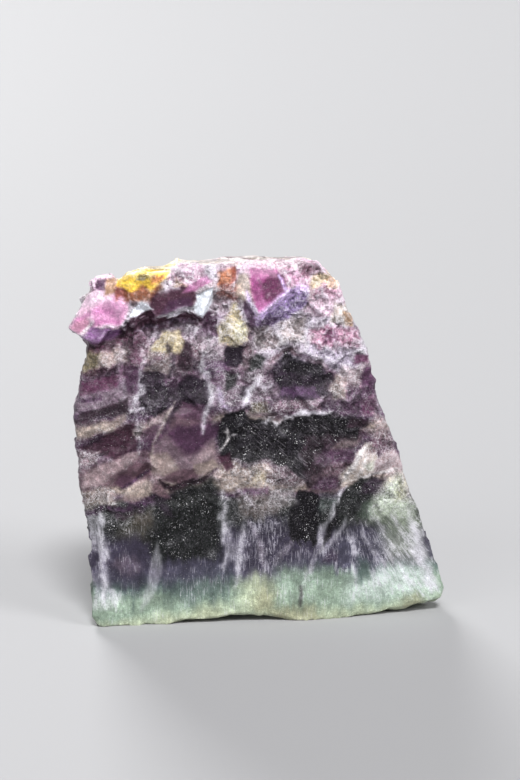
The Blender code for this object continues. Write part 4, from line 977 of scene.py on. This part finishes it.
def wear_highlight_and_shade(coat, edges):
    """Each chip is a little lighter or darker than the next; ridges are worn pale with a painted highlight,
    hollows get painted shade.
    """
    wild = (1 - 0.7 * coat.calm) * (1 - 0.88 * coat.green)
    ridge, hollow = np.clip(edges, 0, 1), np.clip(-edges, 0, 1)
    cloud = coat.rough(3.4, 2, seed=73) * coat.green
    # The lower part is a little darker, less so at the right
    low = 0.1 * falling(coat.z, 58, 10) * (1 - 0.6 * rising(coat.x, 20, 14))
    uneven = (0.26 * (coat.chip_number - 0.5) + 0.24 * (coat.small_number - 0.5)) * wild
    coat.colour *= (1 - low + 0.12 * cloud + uneven)[:, None]
    # Ridges are worn pale, partly as a painted highlight; hollows are darkened with painted shade
    coat.colour += (PAINT["frost"] - coat.colour) * (ridge * (0.15 + 0.3 * coat.crust) * wild)[:, None]
    coat.colour *= (1 - 0.22 * hollow * wild)[:, None]
    coat.veil = (coat.veil + 0.3 * cloud) * (1 + 0.3 * ridge - 0.4 * hollow)
    coat.veil = np.clip(coat.veil + 0.2 * (coat.small_number - 0.5) * wild, 0, 1)


def saw_scratches(coat):
    """Where the saw's scratches show: in clouds on the dark middle of the front, right of the shards."""
    clouds = smooth(0.5 + 1.4 * coat.soft(7, seed=71)) * coat.front * np.abs(coat.n[:, 1])
    upright = rising(coat.z, 33, 3) * falling(coat.z, 66, 4)
    return 0.7 * clouds * upright * rising(coat.x, -4, 5) * falling(coat.x, 27, 4)


def store(mesh, name, kind, values):
    attribute = mesh.attributes.new(name, kind, "POINT")
    key = {"FLOAT": "value", "FLOAT_VECTOR": "vector", "FLOAT_COLOR": "color"}[kind]
    attribute.data.foreach_set(key, np.ascontiguousarray(values, np.float32).ravel())


def store_paint(coat, mesh):
    """Keeps the paint on the mesh, where the material reads it."""
    opaque = np.ones(len(coat.colour))
    shade = coat.colour.mean(axis=1)
    frosted = coat.colour + (PAINT["frost"] - coat.colour) * (0.36 + 0.24 * coat.green)[:, None]
    fibrous = coat.green * (1 - 0.75 * coat.crumbs) * (1 - 0.8 * falling(shade, 0.2, 0.08))
    store(mesh, "stone_colour", "FLOAT_COLOR", np.column_stack((linear(coat.colour), opaque)))
    store(mesh, "veil_colour", "FLOAT_COLOR", np.column_stack((linear(frosted), opaque)))
    store(mesh, "fibre_run", "FLOAT_VECTOR", coat.fibre_run())
    for name, values in (("veil", coat.veil), ("calm", coat.calm), ("fibrous", fibrous),
                         ("flecks", falling(shade, 0.27, 0.22)), ("sawn", saw_scratches(coat))):
        store(mesh, name, "FLOAT", values)


def paint(stone):
    coat = Coat(stone)
    paint_bands(coat)
    paint_back(coat)
    paint_top(coat)
    paint_front(coat)
    weather(coat, stone)
    wear_highlight_and_shade(coat, ridges_and_hollows(coat, stone))
    store_paint(coat, stone.data)


# The materials

class Nodes:
    """Short ways to add the nodes of a material."""

    def __init__(self, name):
        self.material = bpy.data.materials.new(name)
        self.material.use_nodes = True
        self.tree = self.material.node_tree
        self.tree.nodes.clear()

    def add(self, kind, **settings):
        node = self.tree.nodes.new(kind)
        for key, value in settings.items():
            setattr(node, key, value)
        return node

    def link(self, value, socket):
        if isinstance(value, (int, float, tuple)):
            socket.default_value = value
        else:
            self.tree.links.new(value, socket)

    def fill(self, node, **inputs):
        """Links or sets inputs by name, with _ for a space."""
        for name, value in inputs.items():
            self.link(value, node.inputs[name.replace("_", " ")])
        return node

    def attribute(self, name, output="Fac"):
        return self.add("ShaderNodeAttribute", attribute_name=name).outputs[output]

    def grey(self, value):
        node = self.add("ShaderNodeCombineColor")
        return self.fill(node, Red=value, Green=value, Blue=value).outputs[0]

    def noise(self, vector, scale, detail, roughness=0.55, output="Fac"):
        node = self.add("ShaderNodeTexNoise", noise_dimensions="3D")
        return self.fill(node, Vector=vector, Scale=scale, Detail=detail, Roughness=roughness).outputs[output]

    def chips(self, vector, scale):
        """A random number for each small chip, and how far the place is from the chip's middle."""
        node = self.fill(self.add("ShaderNodeTexVoronoi", feature="F1"), Vector=vector, Scale=scale)
        split = self.add("ShaderNodeSeparateColor")
        self.link(node.outputs["Color"], split.inputs[0])
        return split.outputs[0], node.outputs["Distance"]

    def rims(self, vector, scale, width):
        """1 along the edges between the chips."""
        node = self.add("ShaderNodeTexVoronoi", feature="DISTANCE_TO_EDGE")
        return self.band(self.fill(node, Vector=vector, Scale=scale).outputs["Distance"], width, 0.0)

    def stretched(self, vector, scale):
        node = self.add("ShaderNodeMapping")
        return self.fill(node, Vector=vector, Scale=scale).outputs["Vector"]

    def math(self, operation, first, second=0.0, third=0.0, clamp=False):
        node = self.add("ShaderNodeMath", operation=operation, use_clamp=clamp)
        for value, socket in zip((first, second, third), node.inputs):
            self.link(value, socket)
        return node.outputs[0]

    def line(self, value, slope, start, clamp=False):
        """start + slope * value."""
        return self.math("MULTIPLY_ADD", value, slope, start, clamp)

    def times(self, first, *others):
        for other in others:
            first = self.math("MULTIPLY", first, other)
        return first

    def plus(self, first, second):
        return self.math("ADD", first, second)

    def minus(self, first, second):
        return self.math("SUBTRACT", first, second)

    def most(self, first, second):
        return self.math("MAXIMUM", first, second)

    def band(self, value, low, high):
        """0 at low, 1 at high, and a soft step between."""
        node = self.add("ShaderNodeMapRange", interpolation_type="SMOOTHSTEP")
        return self.fill(node, Value=value, From_Min=low, From_Max=high).outputs["Result"]

    def mix(self, share, first, second, blend="MIX"):
        node = self.add("ShaderNodeMix", data_type="RGBA", blend_type=blend, clamp_result=False)
        for value, socket in zip((share, first, second), (node.inputs[0], node.inputs[6], node.inputs[7])):
            self.link(value, socket)
        return node.outputs[2]

    def surface(self, shader):
        self.link(shader.outputs[0], self.add("ShaderNodeOutputMaterial").inputs["Surface"])
        return self.material


class StoneNodes(Nodes):
    """The banded fluorite: the paint on the mesh under grain, frost, fibres, saw scratches and glints.
    The scales of the noises are spacings to the metre."""

    def __init__(self):
        super().__init__("banded fluorite")
        self.place = self.add("ShaderNodeTexCoord").outputs["Object"]
        self.run = self.attribute("fibre_run", "Vector")
        self.colour = self.attribute("stone_colour", "Color")
        self.veil_colour = self.attribute("veil_colour", "Color")
        self.veil = self.attribute("veil")
        self.calm = self.attribute("calm")
        self.fibrous = self.attribute("fibrous")
        self.sawn = self.attribute("sawn")
        self.flecks = self.attribute("flecks")
        self.wild = self.line(self.calm, -0.65, 1.0)
        # Saw marks fall to the right: the place is turned so that the noise can be drawn out along that line
        turned = self.add("ShaderNodeVectorRotate", rotation_type="Y_AXIS")
        self.turned = self.fill(turned, Vector=self.place, Angle=SAW_TURN).outputs[0]
        # The small chips have edges bent by noise
        sway = self.stretched(self.noise(self.place, 1500, 1.0, output="Color"), (0.0004, 0.0004, 0.0004))
        bent = self.add("ShaderNodeVectorMath", operation="ADD")
        self.link(self.place, bent.inputs[0])
        self.link(sway, bent.inputs[1])
        self.bent = bent.outputs[0]
        self.speckle = self.band(self.noise(self.place, 3100, 1.5, 0.6), 0.3, 0.7)
        self.grain = self.stone_grain()

    def stone_grain(self):
        """Crumb, drawn out into fibres in the lower part and along the saw marks in the middle."""
        crumb = self.noise(self.place, 1300, 3.0, 0.68)
        fibre = self.noise(self.stretched(self.run, (1.7, 1.2, 0.4)), 1.0, 3.0, 0.65)
        hatch = self.noise(self.stretched(self.turned, (330, 900, 2300)), 1.0, 2.5, 0.6)
        grain = self.mix(self.times(self.fibrous, 0.6), crumb, fibre)
        return self.mix(self.times(self.sawn, 0.5), grain, hatch)

    def chipped_body(self):
        """The stone's own colour, with each small chip a little lighter or darker."""
        tone, _ = self.chips(self.bent, CHIP_SCALE)
        fine_tone, _ = self.chips(self.bent, FINE_CHIP_SCALE)
        light = self.times(self.line(self.band(self.grain, 0.3, 0.7), 0.9, 0.55), self.line(tone, 0.7, 0.65),
                           self.line(fine_tone, 0.8, 0.6), self.line(self.speckle, 0.6, 0.7))
        uneven = self.times(self.line(self.wild, 0.8, 0.2), self.line(self.fibrous, -0.48, 0.85))
        light = self.line(self.minus(light, 1.0), uneven, 1.0)
        return self.mix(1.0, self.colour, self.grey(light), "MULTIPLY")

    def frost(self):
        """Frosted spots and pale rims of the chips, more of them where the veil is thicker."""
        spots = self.mix(0.4, self.noise(self.place, 1900, 2.5, 0.62), self.grain)
        level = self.line(self.veil, -0.26, 0.72)
        spots = self.band(spots, self.minus(level, 0.01), self.plus(level, 0.03))
        rims = self.most(self.times(self.rims(self.bent, CHIP_SCALE, 0.13), 0.6),
                         self.times(self.rims(self.bent, FINE_CHIP_SCALE, 0.12), 0.5))
        rims = self.times(rims, self.line(self.fibrous, -1.5, 1.0, clamp=True), self.wild,
                          self.line(self.veil, 1.1, 0.05))
        return self.most(self.times(spots, 0.8), rims)

    def thread(self, scale, width):
        """1 along thin winding lines."""
        away = self.math("ABSOLUTE", self.minus(self.noise(self.place, scale, 2.5, 0.6), 0.5))
        return self.band(away, width, 0.0)

    def with_threads(self, shade):
        """Thin pale lines that wind through the frosted parts."""
        thread = self.most(self.thread(560, 0.024), self.times(self.thread(1150, 0.036), 0.7))
        thread = self.times(thread, self.line(self.fibrous, -0.9, 1.0), self.line(self.calm, -0.6, 1.0),
                            self.band(self.veil, 0.1, 0.7), 0.85)
        return self.mix(thread, shade, self.mix(0.6, self.veil_colour, THREAD_WHITE))

    def with_fibres(self, shade):
        """Thin pale fibres, more of them where the veil is thicker, and a few thin dark gaps."""
        streak = self.noise(self.stretched(self.run, (3.4, 2.0, 0.34)), 1.0, 2.5, 0.65)
        level = self.line(self.veil, -0.22, 0.63)
        pale = self.times(self.band(streak, level, self.plus(level, 0.1)), self.fibrous)
        shade = self.mix(self.times(pale, self.line(self.veil, 0.95, 0.13)), shade, self.veil_colour)
        gap = self.times(self.band(streak, 0.42, 0.34), self.fibrous, 0.35)
        return self.mix(gap, shade, self.mix(1.0, shade, GAP_SHADOW, "MULTIPLY"))

    def with_scratches(self, shade):
        """Thin pale scratches of the saw."""
        scratch = self.noise(self.stretched(self.turned, (230, 900, 3000)), 1.0, 2.0, 0.5)
        return self.mix(self.times(self.band(scratch, 0.6, 0.7), self.sawn, 0.5), shade, SCRATCH_GREY)

    def glints(self):
        """Small bright spots in clusters, most of them in the dark windows, over finer and dimmer ones."""
        cluster = self.band(self.noise(self.place, 420, 2.0, 0.6), 0.36, 0.66)
        layers = []
        for scale, rarity, strength in GLINT_LAYERS:
            number, far = self.chips(self.bent, scale)
            level = self.line(self.flecks, -0.22, self.line(cluster, -0.32, rarity))
            size = self.math("MULTIPLY", self.minus(number, level), 0.7, clamp=True)
            layers.append(self.times(self.band(far, size, self.minus(size, 0.12)), strength))
        lively = self.most(self.line(self.wild, 0.7, 0.3), self.flecks)
        return self.times(self.most(*layers), lively)


def stone_material():
    n = StoneNodes()
    frost = n.frost()
    glint = n.glints()
    shade = n.mix(frost, n.chipped_body(), n.veil_colour)
    shade = n.with_scratches(n.with_fibres(n.with_threads(shade)))
    # Dim painted glints, grey specks, lie in the dark windows under the bright ones
    shade = n.mix(n.times(n.band(n.speckle, 0.5, 1.0), n.flecks, 0.2), shade, DIM_GLINT_GREY)
    # The glints are painted highlights, laid into the colour
    shade = n.mix(n.times(glint, 0.92), shade, GLINT_WHITE)
    roughness = n.minus(n.line(frost, 0.25, 0.32), n.times(glint, 0.2))
    height = n.times(n.plus(n.grain, n.noise(n.place, 3600, 1.5)), n.wild)
    bump = n.fill(n.add("ShaderNodeBump"), Strength=0.6, Distance=BUMP_DEPTH, Height=height)
    shader = n.fill(n.add("ShaderNodeBsdfPrincipled"), Base_Color=shade, Roughness=roughness,
                    IOR=FLUORITE_IOR, Specular_IOR_Level=STONE_SHINE, Normal=bump.outputs["Normal"])
    return n.surface(shader)


def plain_material(name, colour, roughness):
    n = Nodes(name)
    return n.surface(n.fill(n.add("ShaderNodeBsdfPrincipled"), Base_Color=(*colour, 1), Roughness=roughness))


# The studio

def studio():
    bpy.ops.mesh.primitive_plane_add(size=FLOOR_SIZE, location=(0, 0, 0))
    floor = bpy.context.object
    floor.name = "floor"
    bpy.ops.object.mode_set(mode="EDIT")
    bpy.ops.mesh.subdivide(number_cuts=FLOOR_CUTS)
    bpy.ops.object.mode_set(mode="OBJECT")
    for vertex in floor.data.vertices:
        far = math.hypot(vertex.co.x, vertex.co.y) - FLAT_FLOOR
        if far > 0:
            vertex.co.z = far * far / SWEEP
    bpy.ops.object.shade_smooth()
    floor.data.materials.append(plain_material("pale floor", FLOOR_COLOUR, FLOOR_ROUGHNESS))
    world = bpy.data.worlds.new("studio")
    world.use_nodes = True
    background = world.node_tree.nodes["Background"]
    background.inputs[0].default_value = AIR
    background.inputs[1].default_value = AIR_LIGHT
    bpy.context.scene.world = world
    for name, place, softness, strength in LIGHTS:
        lamp = bpy.data.lights.new(name, "SUN")
        lamp.angle = softness
        lamp.energy = strength
        hung = bpy.data.objects.new(name, lamp)
        hung.location = place
        hung.rotation_euler = Vector(place).to_track_quat("Z", "Y").to_euler()
        bpy.context.scene.collection.objects.link(hung)


def camera():
    lens = bpy.data.cameras.new("camera")
    lens.lens = LENS
    lens.sensor_width = SENSOR
    shift = Vector(STONE_SHIFT) * MM
    stand = bpy.data.objects.new("camera", lens)
    stand.location = Vector(CAMERA_PLACE) - shift
    stand.rotation_euler = (Vector(CAMERA_AIM) - Vector(CAMERA_PLACE)).to_track_quat("-Z", "Y").to_euler()
    bpy.context.scene.collection.objects.link(stand)
    bpy.context.scene.camera = stand


bpy.context.scene.view_settings.view_transform = "Standard"
camera()
studio()
stone = copy_of_slab()
paint(stone)
select_only(stone)
bpy.ops.object.shade_smooth_by_angle(angle=CRISP)
stone.data.materials.clear()
stone.data.materials.append(stone_material())
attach(stone, "root")
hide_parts("fluorite_slab")
